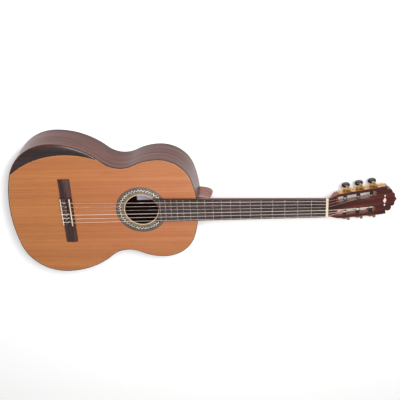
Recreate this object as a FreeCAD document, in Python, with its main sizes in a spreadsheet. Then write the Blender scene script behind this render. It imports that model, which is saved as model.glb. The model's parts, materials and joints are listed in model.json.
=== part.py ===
# Classical guitar with a slotted head, six worm-and-gear tuners and a bevelled arm rest.
# Millimetres.  X runs along the strings towards the head, Y towards the bass side, Z up out of
# the soundboard.  Everything is drawn with X counted from the saddle line and is moved at the end
# so that the origin is under the middle of the whole instrument, on the face that it lies on.
import FreeCAD, Part
import math
import os
import re
import Sketcher
from types import SimpleNamespace
from FreeCAD import Placement, Rotation, Vector

os.makedirs("parts", exist_ok=True)
doc = FreeCAD.newDocument("ClassicalGuitar")
sheet = doc.addObject("Spreadsheet::Sheet", "Sizes")

driving = (
    # body outline: widths are half widths, places are counted from its neck end
    ("scaleLength", 650, "saddle line to nut edge"),
    ("bodyDepth", 95, "outside of the back to outside of the soundboard"),
    ("bodyLength", 486.3, "body"),
    ("lowerHalf", 186.9, "lower bout"),
    ("lowerFromNeck", 362.1, "widest place of the lower bout"),
    ("waistHalf", 120.5, "waist"),
    ("waistFromNeck", 188.3, "narrowest place of the waist"),
    ("waistRadius", 67.5, "hollow curve of the waist"),
    ("upperHalf", 142.7, "upper bout"),
    ("upperFromNeck", 96.1, "widest place of the upper bout"),
    ("tailRadius", 386.6, "flat curve across the tail"),
    ("neckEndRadius", 275, "flat curve across the neck end"),
    ("neckEndLap", 1, "body edge beyond the twelfth fret"),
    # plates, ribs and edge work
    ("topThickness", 2.6, "soundboard"),
    ("backThickness", 2.6, "back"),
    ("ribThickness", 2, "sides, and the bindings that cap them"),
    ("bindingHeight", 5, "bindings"),
    ("purflingWidth", 0.9, "light line inside the binding"),
    ("liningWidth", 6, "linings"),
    ("liningHeight", 14, "linings"),
    ("centreStripWidth", 4, "inlay between the two halves of the back"),
    ("centreCleatWidth", 18, "cleat inside, over that inlay"),
    ("centreCleatHeight", 2, "cleat"),
    ("tailGraftWidth", 14, "inlay between the sides at the tail"),
    # arm bevel
    ("bevelInset", 31.5, "inner edge of the bevel inside the lower bout"),
    ("bevelDrop", 6, "fall of the bevel over that inset"),
    ("bevelDepth", 18, "block under the bevel"),
    ("bevelLedge", 6, "ledge of the block under the soundboard"),
    # soundhole and rosette
    ("holeBehindFret", 36.1, "soundhole centre to the last fret"),
    ("soundholeRadius", 43, "soundhole"),
    ("rosetteRadius", 66, "outside of the rosette"),
    ("rosetteDepth", 1.2, "rosette inlay"),
    # inner blocks and braces
    ("tailBlockLength", 20, "tail block"),
    ("tailBlockWidth", 80, "tail block"),
    ("footLength", 28, "neck foot inside the body"),
    ("footHalf", 30, "neck foot"),
    ("slipperLength", 60, "low part of the foot"),
    ("slipperHeight", 14, "low part of the foot"),
    ("coreHalf", 12, "neck wood between the rib ends"),
    ("barWidth", 8, "harmonic bars"),
    ("barHeight", 16, "harmonic bars"),
    ("barGap", 18, "harmonic bars to the soundhole edge"),
    ("fanWidth", 5, "fan struts"),
    ("fanHeight", 4.5, "fan struts"),
    ("backBraceWidth", 8, "back braces"),
    ("backBraceHeight", 14, "back braces"),
    ("lowBraceFromNeck", 390, "back brace across the lower bout"),
    ("waistBraceFromNeck", 222, "back brace at the waist"),
    ("upperBraceFromNeck", 92, "back brace across the upper bout"),
    ("fanStepHead", 22, "fan struts apart at their head"),
    ("fanStepTail", 34, "fan struts apart at their tail"),
    # neck and fretboard
    ("nutHalf", 26, "neck at the nut"),
    ("joinHalf", 31, "neck at the body"),
    ("neckDropNut", 15.5, "neck wood under the fretboard, at the nut"),
    ("neckDropJoin", 17.5, "neck wood under the fretboard, at the body"),
    ("heelHalf", 15, "heel at the back"),
    ("heelLength", 40, "heel at the back"),
    ("fretboardThickness", 6.5, "fretboard"),
    ("fretboardTail", 4.9, "fretboard beyond the last fret"),
    ("holeMargin", 1.5, "fretboard end to the soundhole edge"),
    ("fretWidth", 2.2, "fret crown"),
    ("fretHeight", 1.1, "fret crown"),
    ("tangWidth", 0.6, "fret tang"),
    ("tangDepth", 1.6, "fret tang"),
    ("fretInset", 0.3, "fret end to the fretboard edge"),
    ("nutThickness", 6, "nut"),
    # bridge
    ("bridgeAhead", 5.5, "front edge of the bridge"),
    ("bridgeBehind", 24.4, "rear edge of the bridge"),
    ("bridgeHalf", 92, "bridge"),
    ("bridgeMiddleHalf", 41, "raised middle of the bridge"),
    ("wingHeight", 5, "bridge wings"),
    ("saddleRibHeight", 8.5, "wood round the saddle"),
    ("tieBlockHeight", 9.2, "tie block"),
    ("tieBlockLength", 14.5, "tie block"),
    ("channelHeight", 3.5, "floor between the saddle and the tie block"),
    ("tieHoleHeight", 5.2, "string holes above the soundboard"),
    ("tieHoleRadius", 1, "string holes"),
    ("inlayWidth", 2.2, "bone strip on the tie block"),
    ("inlayThickness", 1.2, "bone strip"),
    ("saddleThickness", 2.6, "saddle"),
    ("saddleHalf", 39.5, "saddle"),
    ("saddleSlotDepth", 5, "saddle in its slot"),
    # strings
    ("stringHeightSaddle", 12.3, "underside of the strings above the soundboard at the saddle"),
    ("stringHeightNut", 0.5, "underside of the strings above the fret crowns at the nut"),
    ("bridgeSpread", 57.5, "outer strings at the bridge"),
    ("nutSpread", 43.5, "outer strings at the nut"),
    ("stringRest", 0.03, "strings above the saddle and the nut"),
    ("stringGap", 0.3, "strings to the rollers"),
    # head
    ("headTilt", 13, "head against the fretboard, degrees"),
    ("headRise", 3, "head face above the soundboard plane at the nut"),
    ("headThickness", 18, "head with its veneer"),
    ("veneerThickness", 2.5, "head veneer"),
    ("railStart", 28, "end of the shoulder curve, along the head"),
    ("railStartHalf", 34.5, "head there"),
    ("railEnd", 157.7, "head corner, along the head"),
    ("railEndHalf", 40, "head there"),
    ("headTip", 185.3, "point of the crest, along the head"),
    ("railWall", 7, "wood between a slot and the head's side"),
    ("slotWidth", 18, "string slots"),
    ("slotStart", -1, "slots, along the rail"),
    ("slotEnd", 102, "slots, along the rail"),
    ("rampLength", 10, "ramp before a slot"),
    ("rampDepth", 9, "ramp at the slot"),
    # tuners
    ("tunerFirst", 20, "first roller, along the rail"),
    ("tunerPitch", 35, "roller to roller"),
    ("rollerDepth", 9.5, "roller axis under the head face"),
    ("rollerRadius", 4.75, "string roller"),
    ("rollerClearance", 0.3, "roller in the rail bore"),
    ("spigotRadius", 3, "inner bearing of the roller"),
    ("spigotLength", 6, "inner bearing"),
    ("axleRadius", 2.5, "roller axle through the plate"),
    ("runningFit", 0.05, "shafts in their bearings, on the radius"),
    ("stringHoleRadius", 0.8, "string hole in a roller"),
    ("plateThickness", 1.5, "tuner plates"),
    ("plateHeight", 17, "tuner plates"),
    ("plateStart", 1, "tuner plates, along the rail"),
    ("plateEnd", 125, "tuner plates, along the rail"),
    ("plateRound", 4, "corners of a plate"),
    ("gearTeeth", 14, "teeth of a gear"),
    ("gearPitchRadius", 6, "gear"),
    ("wormPitchRadius", 3, "worm"),
    ("toothRise", 0.6, "tooth above the pitch line"),
    ("toothRoot", 0.95, "tooth below the pitch line"),
    ("toothWidth", 0.9, "tooth at the pitch line"),
    ("gearWidth", 2.6, "gear"),
    ("wormStand", 5.5, "worm axis off the head's side"),
    ("endPlay", 0.3, "gaps along the axles"),
    ("shaftRadius", 2, "worm shaft"),
    ("shaftProud", 0.4, "worm shaft above its upper post"),
    ("lugThickness", 3, "bearing posts"),
    ("lugHalf", 3.3, "bearing posts"),
    ("buttonDrop", 32, "middle of a button under the head face"),
    ("buttonLong", 9, "button, half its height"),
    ("buttonWide", 11, "button, half its width"),
    ("buttonThick", 9.6, "button"),
    ("buttonRound", 3.6, "button edge"),
    ("buttonFlat", 0.6, "flat where a button meets its collar"),
    ("ferruleRadius", 3.4, "collar above a button"),
    ("ferruleLength", 3.5, "collar"),
    ("screwRadius", 1.2, "plate screws"),
    ("screwLength", 9, "plate screws"),
    ("screwHeadRadius", 2.3, "plate screws"),
    ("screwHeadHeight", 1.2, "plate screws"),
    ("gearScrewHead", 1.2, "screw that holds a gear"),
    ("screwSlot", 0.7, "screwdriver slots"),
)
for row, (alias, value, note) in enumerate(driving, start=1):
    sheet.set("A%d" % row, note)
    sheet.set("B%d" % row, str(value))
    sheet.setAlias("B%d" % row, alias)
doc.recompute()
d = SimpleNamespace(**{alias: float(getattr(sheet, alias)) for alias, value, note in driving})

holePlace = "scaleLength / 2 ^ (19 / 12) - holeBehindFret"  # soundhole centre, as an expression
stringRadii = (0.36, 0.41, 0.51, 0.37, 0.45, 0.55)  # first (treble) to sixth (bass)
up = Vector(0, 0, 1)

# levels and places worked out from the sheet
fretPlaces = [d.scaleLength / 2 ** (number / 12) for number in range(1, 20)]
holeX = fretPlaces[-1] - d.holeBehindFret
topZ = d.bodyDepth
underZ = topZ - d.topThickness
neckEndX = d.scaleLength / 2 + d.neckEndLap
tailX = neckEndX - d.bodyLength
lowX = neckEndX - d.lowerFromNeck
waistX = neckEndX - d.waistFromNeck
upperX = neckEndX - d.upperFromNeck
headX = d.scaleLength + d.nutThickness - 1
headZ = topZ + d.headRise
headFrame = Placement(Vector(headX, 0, headZ), Rotation(Vector(0, 1, 0), d.headTilt))
tipX = headFrame.multVec(Vector(d.headTip, 0, 0)).x
toOrigin = Placement(Vector(-(tipX + tailX) / 2, 0, 0), Rotation())

nodes = []


# ---------------------------------------------------------------- helpers
def bound(text):
    """An expression with every sheet alias in it pointing at the sheet."""
    return re.sub(r"[A-Za-z]\w*", lambda word: "Sizes." + word.group() if hasattr(d, word.group())
                  else word.group(), text)


def keep(item, label, frame=None):
    """Names a finished sub-part and puts it in the instrument's frame."""
    item.Label = label
    item.Placement = toOrigin.multiply(frame) if frame else toOrigin
    nodes.append(item)
    return item


def keepShape(shape, label, frame=None):
    feature = doc.addObject("Part::Feature", label)
    feature.Shape = shape
    return keep(feature, label, frame)


def originPlane(body, role):
    return next(item for item in body.Origin.OriginFeatures if item.Role == role)


def newSketch(body, role, name, geometry=(), lift=None):
    """A sketch on one of the body's own origin planes, lifted off it by an expression."""
    sketch = body.newObject("Sketcher::SketchObject", name)
    sketch.AttachmentSupport = [(originPlane(body, role), "")]
    sketch.MapMode = "FlatFace"
    if lift:
        sketch.setExpression("AttachmentOffset.Base.z", bound(lift))
    for piece in geometry:
        sketch.addGeometry(piece, False)
    return sketch


def polygonSketch(body, role, name, corners, lift=None):
    """A closed polygon whose corners are pairs of expressions, counted from the origin."""
    sketch = newSketch(body, role, name, lift=lift)
    count = len(corners)
    first = [Vector(math.cos(math.tau * i / count), math.sin(math.tau * i / count), 0) * 20
             for i in range(count)]
    for i in range(count):
        sketch.addGeometry(Part.LineSegment(first[i], first[(i + 1) % count]), False)
    for i in range(count):
        sketch.addConstraint(Sketcher.Constraint("Coincident", i, 2, (i + 1) % count, 1))
    for i, (across, along) in enumerate(corners):
        for kind, text in (("DistanceX", across), ("DistanceY", along)):
            index = sketch.addConstraint(Sketcher.Constraint(kind, -1, 1, i, 1, 1.0))
            sketch.setExpression("Constraints[%d]" % index, bound(text))
    return sketch


def circleSketch(body, role, name, across, along, radii, lift=None):
    """Concentric circles about one centre, all given by expressions."""
    sketch = newSketch(body, role, name, lift=lift)
    for i, radius in enumerate(radii):
        sketch.addGeometry(Part.Circle(Vector(1, 1, 0), up, 5 + i), False)
        for kind, text in (("DistanceX", across), ("DistanceY", along)):
            index = sketch.addConstraint(Sketcher.Constraint(kind, -1, 1, i, 3, 1.0))
            sketch.setExpression("Constraints[%d]" % index, bound(text))
        index = sketch.addConstraint(Sketcher.Constraint("Radius", i, 5.0 + i))
        sketch.setExpression("Constraints[%d]" % index, bound(radius))
    return sketch


def addFeature(body, kind, sketch, name, length=None, both=False, reverse=False):
    feature = body.newObject("PartDesign::" + kind, name)
    feature.Profile = sketch
    if kind == "Revolution":
        feature.ReferenceAxis = (sketch, ["V_Axis"])
        feature.Angle = 360
    else:
        feature.setExpression("Length", bound(length))
        feature.Midplane = both
        feature.Reversed = reverse
    return feature


def newBody(label):
    return doc.addObject("PartDesign::Body", label)


def box(x0, x1, y0, y1, z0, z1):
    return Part.makeBox(x1 - x0, y1 - y0, z1 - z0, Vector(x0, y0, z0))


def rod(start, direction, radius, length):
    return Part.makeCylinder(radius, length, start, direction)


def prism(geometry, z0, z1):
    wire = Part.Wire(Part.__sortEdges__([piece.toShape() for piece in geometry]))
    face = Part.Face(wire)
    face.translate(Vector(0, 0, z0))
    return face.extrude(Vector(0, 0, z1 - z0))


def fused(shapes):
    whole = shapes[0].multiFuse(list(shapes[1:])) if len(shapes) > 1 else shapes[0]
    return whole.removeSplitter()


# ---------------------------------------------------------------- body outline
# Half of the outline is seven tangent arcs: tail, lower corner, lower bout, waist, upper bout,
# upper corner and neck end.  Three radii follow from the others, because the arcs are tangent.
def outlineArcs():
    """(centre, radius, join with the next arc) for each arc of the bass half, tail to neck."""
    tailC = tailX + d.tailRadius
    cornerR = ((d.tailRadius**2 - (lowX - tailC)**2 - d.lowerHalf**2)
               / (2 * (d.tailRadius - d.lowerHalf)))
    drop = d.waistHalf - d.lowerHalf
    lowR = -(drop**2 + (waistX - lowX)**2) / (2 * drop) - d.waistRadius
    drop = d.waistHalf - d.upperHalf
    upR = -(drop**2 + (waistX - upperX)**2) / (2 * drop) - d.waistRadius
    endC = neckEndX - d.neckEndRadius
    shoulderR = ((d.neckEndRadius**2 - (upperX - endC)**2 - d.upperHalf**2)
                 / (2 * (d.neckEndRadius - d.upperHalf)))
    centres = [Vector(tailC, 0, 0),
               Vector(lowX, d.lowerHalf - cornerR, 0),
               Vector(lowX, d.lowerHalf - lowR, 0),
               Vector(waistX, d.waistHalf + d.waistRadius, 0),
               Vector(upperX, d.upperHalf - upR, 0),
               Vector(upperX, d.upperHalf - shoulderR, 0),
               Vector(endC, 0, 0)]
    radii = [d.tailRadius, cornerR, lowR, d.waistRadius, upR, shoulderR, d.neckEndRadius]

    def along(i, j):
        return centres[i] + (centres[j] - centres[i]).normalize() * radii[i]

    joins = [along(0, 1), Vector(lowX, d.lowerHalf, 0), along(2, 3), along(3, 4),
             Vector(upperX, d.upperHalf, 0), along(6, 5), Vector(neckEndX, 0, 0)]
    return centres, radii, joins


arcCentres, arcRadii, arcJoins = outlineArcs()
hollowArc = 3  # the waist curves the other way


def arcBetween(centre, start, end, side):
    """The arc about a centre from start to end, clockwise for side 1."""
    radius = (start - centre).Length
    circle = Part.Circle(centre, up, radius)
    a = math.atan2(start.y - centre.y, start.x - centre.x)
    b = math.atan2(end.y - centre.y, end.x - centre.x)
    return Part.ArcOfCircle(circle, b, a) if side > 0 else Part.ArcOfCircle(circle, a, b)


def outline(inset):
    """Closed outline of the body, that far inside the ribs' outer face."""
    pieces = []
    for side in (1, -1):
        start = Vector(tailX + inset, 0, 0)
        for i, (centre, radius, join) in enumerate(zip(arcCentres, arcRadii, arcJoins)):
            offset = inset if i == hollowArc else -inset
            end = centre + (join - centre).normalize() * (radius + offset)
            turn = side if i != hollowArc else -side
            ends = [Vector(point.x, point.y * side, 0) for point in (centre, start, end)]
            pieces.append(arcBetween(ends[0], ends[1], ends[2], turn))
            start = end
    return pieces


def inside(inset, z0, z1):
    return prism(outline(inset), z0, z1)


def ring(outer, inner, z0, z1):
    return inside(outer, z0, z1).cut(inside(inner, z0 - 1, z1 + 1))


# The inner edge of the arm bevel is an arc through the two ends of the lower bout's curves and
# a point inside its widest place; its surface is a flat cone about that arc's centre.
bevelStart = arcJoins[0]
bevelMiddle = Vector(lowX, d.lowerHalf - d.bevelInset, 0)
bevelEnd = arcJoins[2]
bevelCircle = Part.Arc(bevelStart, bevelMiddle, bevelEnd).toShape().Curve
bevelCentre = bevelCircle.Center
bevelRadius = bevelCircle.Radius
bevelSlope = d.bevelDrop / d.bevelInset
bevelOverrun = math.radians(4)  # past the outline at both ends
bevelReach = d.bevelInset * 3


def bevelLoop(radius):
    """Closed loop round everything on the bass side that lies outside the bevel's inner edge."""
    first = math.atan2(bevelStart.y - bevelCentre.y, bevelStart.x - bevelCentre.x) + bevelOverrun
    last = math.atan2(bevelEnd.y - bevelCentre.y, bevelEnd.x - bevelCentre.x) - bevelOverrun / 2
    arc = Part.ArcOfCircle(Part.Circle(bevelCentre, up, radius), last, first)
    a, b = arc.StartPoint, arc.EndPoint
    outer = [a, Vector(a.x, d.lowerHalf + bevelReach, 0),
             Vector(tailX - bevelReach, d.lowerHalf + bevelReach, 0),
             Vector(tailX - bevelReach, b.y, 0), b]
    return [arc] + [Part.LineSegment(p, q) for p, q in zip(outer, outer[1:])]


def bevelZone(radius, z0, z1):
    return prism(bevelLoop(radius), z0, z1)


def aboveBevel():
    """Everything over the bevel's sloping surface."""
    r0, r1 = bevelRadius, bevelRadius + bevelReach
    corners = [Vector(r0, 0, topZ), Vector(r1, 0, topZ - bevelSlope * bevelReach),
               Vector(r1, 0, topZ + 1), Vector(r0, 0, topZ + 1), Vector(r0, 0, topZ)]
    whole = Part.Face(Part.makePolygon(corners)).revolve(Vector(), up, 360)
    whole.translate(bevelCentre)
    return whole.common(bevelZone(bevelRadius, topZ - d.bevelDepth, topZ + 1))


# ---------------------------------------------------------------- soundboard and back
body = newBody("soundboard")
plan = newSketch(body, "XY_Plane", "TopOutline", outline(d.ribThickness + d.purflingWidth),
                 lift="bodyDepth - topThickness")
addFeature(body, "Pad", plan, "TopPlate", "topThickness")
hole = circleSketch(body, "XY_Plane", "SoundholeCircle", holePlace, "0", ["soundholeRadius"],
                    lift="bodyDepth")
addFeature(body, "Pocket", hole, "Soundhole", "topThickness")
groove = circleSketch(body, "XY_Plane", "RosetteCircles", holePlace, "0", ["rosetteRadius"],
                      lift="bodyDepth")
addFeature(body, "Pocket", groove, "RosetteGroove", "rosetteDepth")
edge = newSketch(body, "XY_Plane", "BevelEdge", bevelLoop(bevelRadius - d.purflingWidth),
                 lift="bodyDepth")
addFeature(body, "Pocket", edge, "BevelCut", "topThickness")
keep(body, "soundboard")

body = newBody("rosette")
rings = circleSketch(body, "XY_Plane", "RosetteRings", holePlace, "0",
                     ["rosetteRadius", "soundholeRadius"], lift="bodyDepth - rosetteDepth")
addFeature(body, "Pad", rings, "RosetteInlay", "rosetteDepth")
keep(body, "rosette")

wide = d.lowerHalf + d.upperHalf  # further across than any piece reaches
far = d.scaleLength  # further along than the body reaches
backPlate = inside(d.ribThickness, 0, d.backThickness)
halfStrip = d.centreStripWidth / 2
halfCleat = d.centreCleatWidth / 2
cleatTop = d.backThickness + d.centreCleatHeight

footBack = neckEndX - d.ribThickness - d.footLength
footBox = box(footBack, neckEndX, -d.footHalf, d.footHalf, d.backThickness, underZ)
slipperBox = box(footBack - d.slipperLength + d.footLength, neckEndX, -d.footHalf, d.footHalf,
                 d.backThickness, d.backThickness + d.slipperHeight)
foot = footBox.fuse(slipperBox).common(inside(d.ribThickness, 0, topZ))
tailBlock = box(tailX, tailX + d.ribThickness + d.tailBlockLength, -d.tailBlockWidth / 2,
                d.tailBlockWidth / 2, d.backThickness, underZ)
tailBlock = tailBlock.common(inside(d.ribThickness, 0, topZ))

keepShape(backPlate.common(box(-far, far, halfStrip, wide, -1, topZ)), "back_bass")
keepShape(backPlate.common(box(-far, far, -wide, -halfStrip, -1, topZ)), "back_treble")
centreStrip = backPlate.common(box(-far, far, -halfStrip, halfStrip, -1, topZ))
centreCleat = inside(d.ribThickness + d.liningWidth, d.backThickness, cleatTop)
centreCleat = centreCleat.common(box(-far, far, -halfCleat, halfCleat, -1, topZ))
centreCleat = centreCleat.cut(foot).cut(tailBlock)
keepShape(centreStrip.fuse(centreCleat).removeSplitter(), "back_centre_strip")

# ---------------------------------------------------------------- ribs, linings and edge work
ribRing = ring(0, d.ribThickness, d.bindingHeight, topZ - d.bindingHeight)
bevelRim = ring(0, d.ribThickness, topZ - d.bindingHeight, topZ)
bevelRim = bevelRim.common(bevelZone(bevelRadius, 0, topZ + 1)).cut(aboveBevel())
ribs = ribRing.fuse(bevelRim).removeSplitter()
halfGraft = d.tailGraftWidth / 2
for side, label in ((1, "side_bass"), (-1, "side_treble")):
    half = box(-far, far, 0, wide, -1, topZ + 1) if side > 0 else box(-far, far, -wide, 0, -1, topZ + 1)
    rib = ribs.common(half)
    rib = rib.cut(box(neckEndX - d.footLength, far, -d.coreHalf, d.coreHalf, -1, topZ + 1))
    rib = rib.cut(box(-far, 0, -halfGraft, halfGraft, -1, topZ + 1))
    keepShape(rib, label)
keepShape(ribRing.common(box(-far, 0, -halfGraft, halfGraft, -1, topZ + 1)), "tail_graft")
keepShape(tailBlock.cut(centreStrip), "tail_block")

for label, low in (("binding_top", "bodyDepth - bindingHeight"), ("binding_back", "0")):
    body = newBody(label)
    loops = outline(0) + outline(d.ribThickness)
    addFeature(body, "Pad", newSketch(body, "XY_Plane", label + "_loops", loops, lift=low),
               label + "_strip", "bindingHeight")
    if label == "binding_top":
        edge = newSketch(body, "XY_Plane", "BevelGap", bevelLoop(bevelRadius), lift="bodyDepth")
        addFeature(body, "Pocket", edge, "BevelStop", "bindingHeight")
    keep(body, label)

purfling = ring(d.ribThickness, d.ribThickness + d.purflingWidth, underZ, topZ)
purfling = purfling.cut(bevelZone(bevelRadius, 0, topZ + 1))
bevelLine = bevelZone(bevelRadius - d.purflingWidth, underZ, topZ)
bevelLine = bevelLine.cut(bevelZone(bevelRadius, 0, topZ + 1))
bevelLine = bevelLine.common(inside(d.ribThickness, 0, topZ + 1))
keepShape(fused([purfling, bevelLine]), "purfling_top")

block = inside(d.ribThickness, topZ - d.bevelDepth, topZ).common(bevelZone(bevelRadius, 0, topZ + 1))
ledge = inside(d.ribThickness, topZ - d.bevelDepth, underZ)
ledge = ledge.common(bevelZone(bevelRadius - d.bevelLedge, 0, topZ + 1))
armBevel = block.fuse(ledge).removeSplitter().cut(aboveBevel())
keepShape(armBevel, "arm_bevel")

liningIn = d.ribThickness + d.liningWidth
topLining = ring(d.ribThickness, liningIn, underZ - d.liningHeight, underZ)
keepShape(topLining.cut(tailBlock).cut(foot).cut(bevelZone(bevelRadius - d.bevelLedge, 0, topZ)),
          "lining_top")
backLining = ring(d.ribThickness, liningIn, d.backThickness, d.backThickness + d.liningHeight)
keepShape(backLining.cut(tailBlock).cut(foot), "lining_back")

# ---------------------------------------------------------------- bars, struts and braces
hollow = inside(liningIn, 0, topZ).cut(bevelZone(bevelRadius - d.bevelLedge, 0, topZ))
halfBar = d.barWidth / 2
barPlaces = [holeX + side * (d.soundholeRadius + d.barGap) for side in (-1, 1)]
bars = [box(x - halfBar, x + halfBar, -wide, wide, underZ - d.barHeight, underZ).common(hollow)
        for x in barPlaces]
keepShape(Part.makeCompound(bars), "harmonic_bars")

fanHead = barPlaces[0] - halfBar
fanFoot = tailX + d.tailBlockLength + d.liningWidth * 2
struts = []
for place in range(-3, 4):
    start = Vector(fanHead, place * d.fanStepHead, underZ - d.fanHeight)
    end = Vector(fanFoot + abs(place) * d.barWidth * 2, place * d.fanStepTail, start.z)
    strut = Part.makeBox((end - start).Length, d.fanWidth, d.fanHeight, Vector(0, -d.fanWidth / 2, 0))
    turn = math.degrees(math.atan2(end.y - start.y, end.x - start.x))
    strut.Placement = Placement(start, Rotation(up, turn))
    struts.append(strut.cut(bars[0]).common(hollow))
keepShape(Part.makeCompound(struts), "fan_braces")

halfBrace = d.backBraceWidth / 2
bracePlaces = [neckEndX - back for back in
               (d.lowBraceFromNeck, d.waistBraceFromNeck, d.upperBraceFromNeck)]
braces = [box(x - halfBrace, x + halfBrace, -wide, wide, d.backThickness,
              d.backThickness + d.backBraceHeight).common(inside(liningIn, 0, topZ))
          .cut(centreCleat).cut(foot) for x in bracePlaces]
keepShape(Part.makeCompound(braces), "back_braces")

# ---------------------------------------------------------------- fretboard and frets
taper = (d.joinHalf - d.nutHalf) / (d.scaleLength / 2)


def boardHalf(x):
    return d.nutHalf + taper * (d.scaleLength - x)


boardEnd = fretPlaces[-1] - d.fretboardTail
boardTop = topZ + d.fretboardThickness
holeCut = Part.makeCylinder(d.soundholeRadius + d.holeMargin, d.fretboardThickness * 3,
                            Vector(holeX, 0, topZ - d.fretboardThickness))


def acrossBoard(x, width, low, high, inset):
    """A bar across the fretboard, with ends cut to the board's taper."""
    corners = []
    for along, side in ((-1, -1), (1, -1), (1, 1), (-1, 1), (-1, -1)):
        place = x + along * width / 2
        corners.append(Vector(place, side * (boardHalf(place) - inset), low))
    return Part.Face(Part.makePolygon(corners)).extrude(Vector(0, 0, high - low))


def fret(x):
    """Half-round crown on a flat tang."""
    half = boardHalf(x) - d.fretInset
    r = d.fretWidth / 2
    crown = Part.Arc(Vector(x - r, -half, boardTop), Vector(x, -half, boardTop + d.fretHeight),
                     Vector(x + r, -half, boardTop)).toShape()
    base = Part.makeLine(Vector(x + r, -half, boardTop), Vector(x - r, -half, boardTop))
    crown = Part.Face(Part.Wire([crown, base])).extrude(Vector(0, 2 * half, 0))
    tang = acrossBoard(x, d.tangWidth, boardTop - d.tangDepth, boardTop, d.fretInset)
    return crown.fuse(tang).cut(holeCut)


board = [Vector(boardEnd, -boardHalf(boardEnd), topZ), Vector(d.scaleLength, -d.nutHalf, topZ),
         Vector(d.scaleLength, d.nutHalf, topZ), Vector(boardEnd, boardHalf(boardEnd), topZ)]
board = Part.Face(Part.makePolygon(board + board[:1])).extrude(Vector(0, 0, d.fretboardThickness))
board = board.cut(holeCut)
tangSlots = [acrossBoard(x, d.tangWidth, boardTop - d.tangDepth, boardTop + 1, d.fretInset)
             for x in fretPlaces]
keepShape(board.cut(tangSlots), "fretboard")
keepShape(Part.makeCompound([fret(x) for x in fretPlaces]), "frets")

# ---------------------------------------------------------------- neck, heel and slotted head
railTurn = math.degrees(math.atan2(d.railEndHalf - d.railStartHalf, d.railEnd - d.railStart))
headBack = -d.headThickness
veneerZ = -d.veneerThickness


def sideFrame(side):
    """Frame on a side of the head: X along the rail, Y across, Z out of the face."""
    return Placement(Vector(d.railStart, side * d.railStartHalf, 0), Rotation(up, side * railTurn))


def halfOval(centre, across, deep, half, depth):
    """Closed half ellipse: straight across the centre, bulging along deep."""
    a, b = across * half, deep * depth
    if half >= depth:
        ellipse = Part.Ellipse(centre + a, centre + b, centre)
        arc = Part.ArcOfEllipse(ellipse, 0, math.pi)
    else:
        ellipse = Part.Ellipse(centre + b, centre - a, centre)
        arc = Part.ArcOfEllipse(ellipse, -math.pi / 2, math.pi / 2)
    edge = arc.toShape()
    chord = Part.makeLine(edge.Vertexes[-1].Point, edge.Vertexes[0].Point)
    return Part.Wire([edge, chord])


acrossY, downZ, alongX = Vector(0, 1, 0), Vector(0, 0, -1), Vector(1, 0, 0)
shaftStart = neckEndX - d.footLength
throatX = headX + d.railStart / 2
throat = headFrame.multVec(Vector(d.railStart / 2, 0, veneerZ))
shaft = Part.makeLoft([
    halfOval(Vector(shaftStart, 0, topZ), acrossY, downZ, boardHalf(shaftStart), d.neckDropJoin),
    halfOval(Vector(d.scaleLength, 0, topZ), acrossY, downZ, d.nutHalf, d.neckDropNut),
    halfOval(Vector(throatX, 0, throat.z), acrossY, downZ, d.nutHalf, d.neckDropNut)], True, True)
bodyBlock = inside(0, 0, topZ + 1)

heelLevels = (  # share of the height under the shaft, half width, length out of the body
    (0, d.heelHalf, d.heelLength),
    (0.35, d.heelHalf + 1, d.heelLength - 5),
    (0.65, d.heelHalf + 4, d.heelLength - 6.5),
    (0.88, d.heelHalf + 9, d.heelLength + 3),
    (1.02, d.joinHalf - 2, d.heelLength + 25),
)
heelFoot = d.bindingHeight
heelTop = topZ - d.neckDropJoin + d.bindingHeight
heelRoot = neckEndX - d.ribThickness * 3
heelSections = [halfOval(Vector(heelRoot, 0, heelFoot + share * (heelTop - heelFoot)), acrossY, alongX,
                         half, length) for share, half, length in heelLevels]
heel = Part.makeLoft(heelSections, True, False)
core = box(neckEndX - d.footLength, neckEndX, -d.coreHalf, d.coreHalf, d.bindingHeight,
           topZ - d.bindingHeight).common(bodyBlock)

# One half of the head's crest, from the end of the rail to its point: a notch, two lobes and a
# hollow sweep.  Each arc has a middle and an end, as the distance beyond the rail's end and as a
# share of the head's half width there.
crestArcs = (
    ((-1.8, 0.86), (-1.3, 0.72)),  # notch
    ((11.4, 0.72), (10.6, 0.44)),  # first lobe
    ((18.4, 0.45), (21.2, 0.268)),  # second lobe
)
sweepMiddle = (23.6, 0.115)
shoulderStart = d.railStart / 4  # the outline runs straight from the nut to here
nutFlare = 1.03  # the head just beyond the nut, as a share of the nut's half width
shoulderRise = 4.6  # the shoulder's middle outside the nut's half width
shoulderShare = 0.55  # and its place along the shoulder


def crestPoint(place, side):
    return Vector(d.railEnd + place[0], place[1] * d.railEndHalf * side)


def headEdges(side):
    """Edges of one half of the head's outline, from the nut to the point of the crest."""
    neckEdge = Vector(shoulderStart, d.nutHalf * side * nutFlare)
    shoulder = Vector(d.railStart * shoulderShare, (d.nutHalf + shoulderRise) * side)
    railFoot = Vector(d.railStart, d.railStartHalf * side)
    last = Vector(d.railEnd, d.railEndHalf * side)
    edges = [Part.makeLine(Vector(0, d.nutHalf * side), neckEdge),
             Part.Arc(neckEdge, shoulder, railFoot).toShape(), Part.makeLine(railFoot, last)]
    for middle, end in crestArcs:
        end = crestPoint(end, side)
        edges.append(Part.Arc(last, crestPoint(middle, side), end).toShape())
        last = end
    return edges + [Part.Arc(last, crestPoint(sweepMiddle, side), Vector(d.headTip, 0)).toShape()]


def headPlate(low, high):
    wire = Part.Wire(Part.__sortEdges__(
        headEdges(1) + headEdges(-1) + [Part.makeLine(Vector(0, -d.nutHalf), Vector(0, d.nutHalf))]))
    face = Part.Face(wire)
    face.translate(Vector(0, 0, low))
    return face.extrude(Vector(0, 0, high - low))


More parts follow.
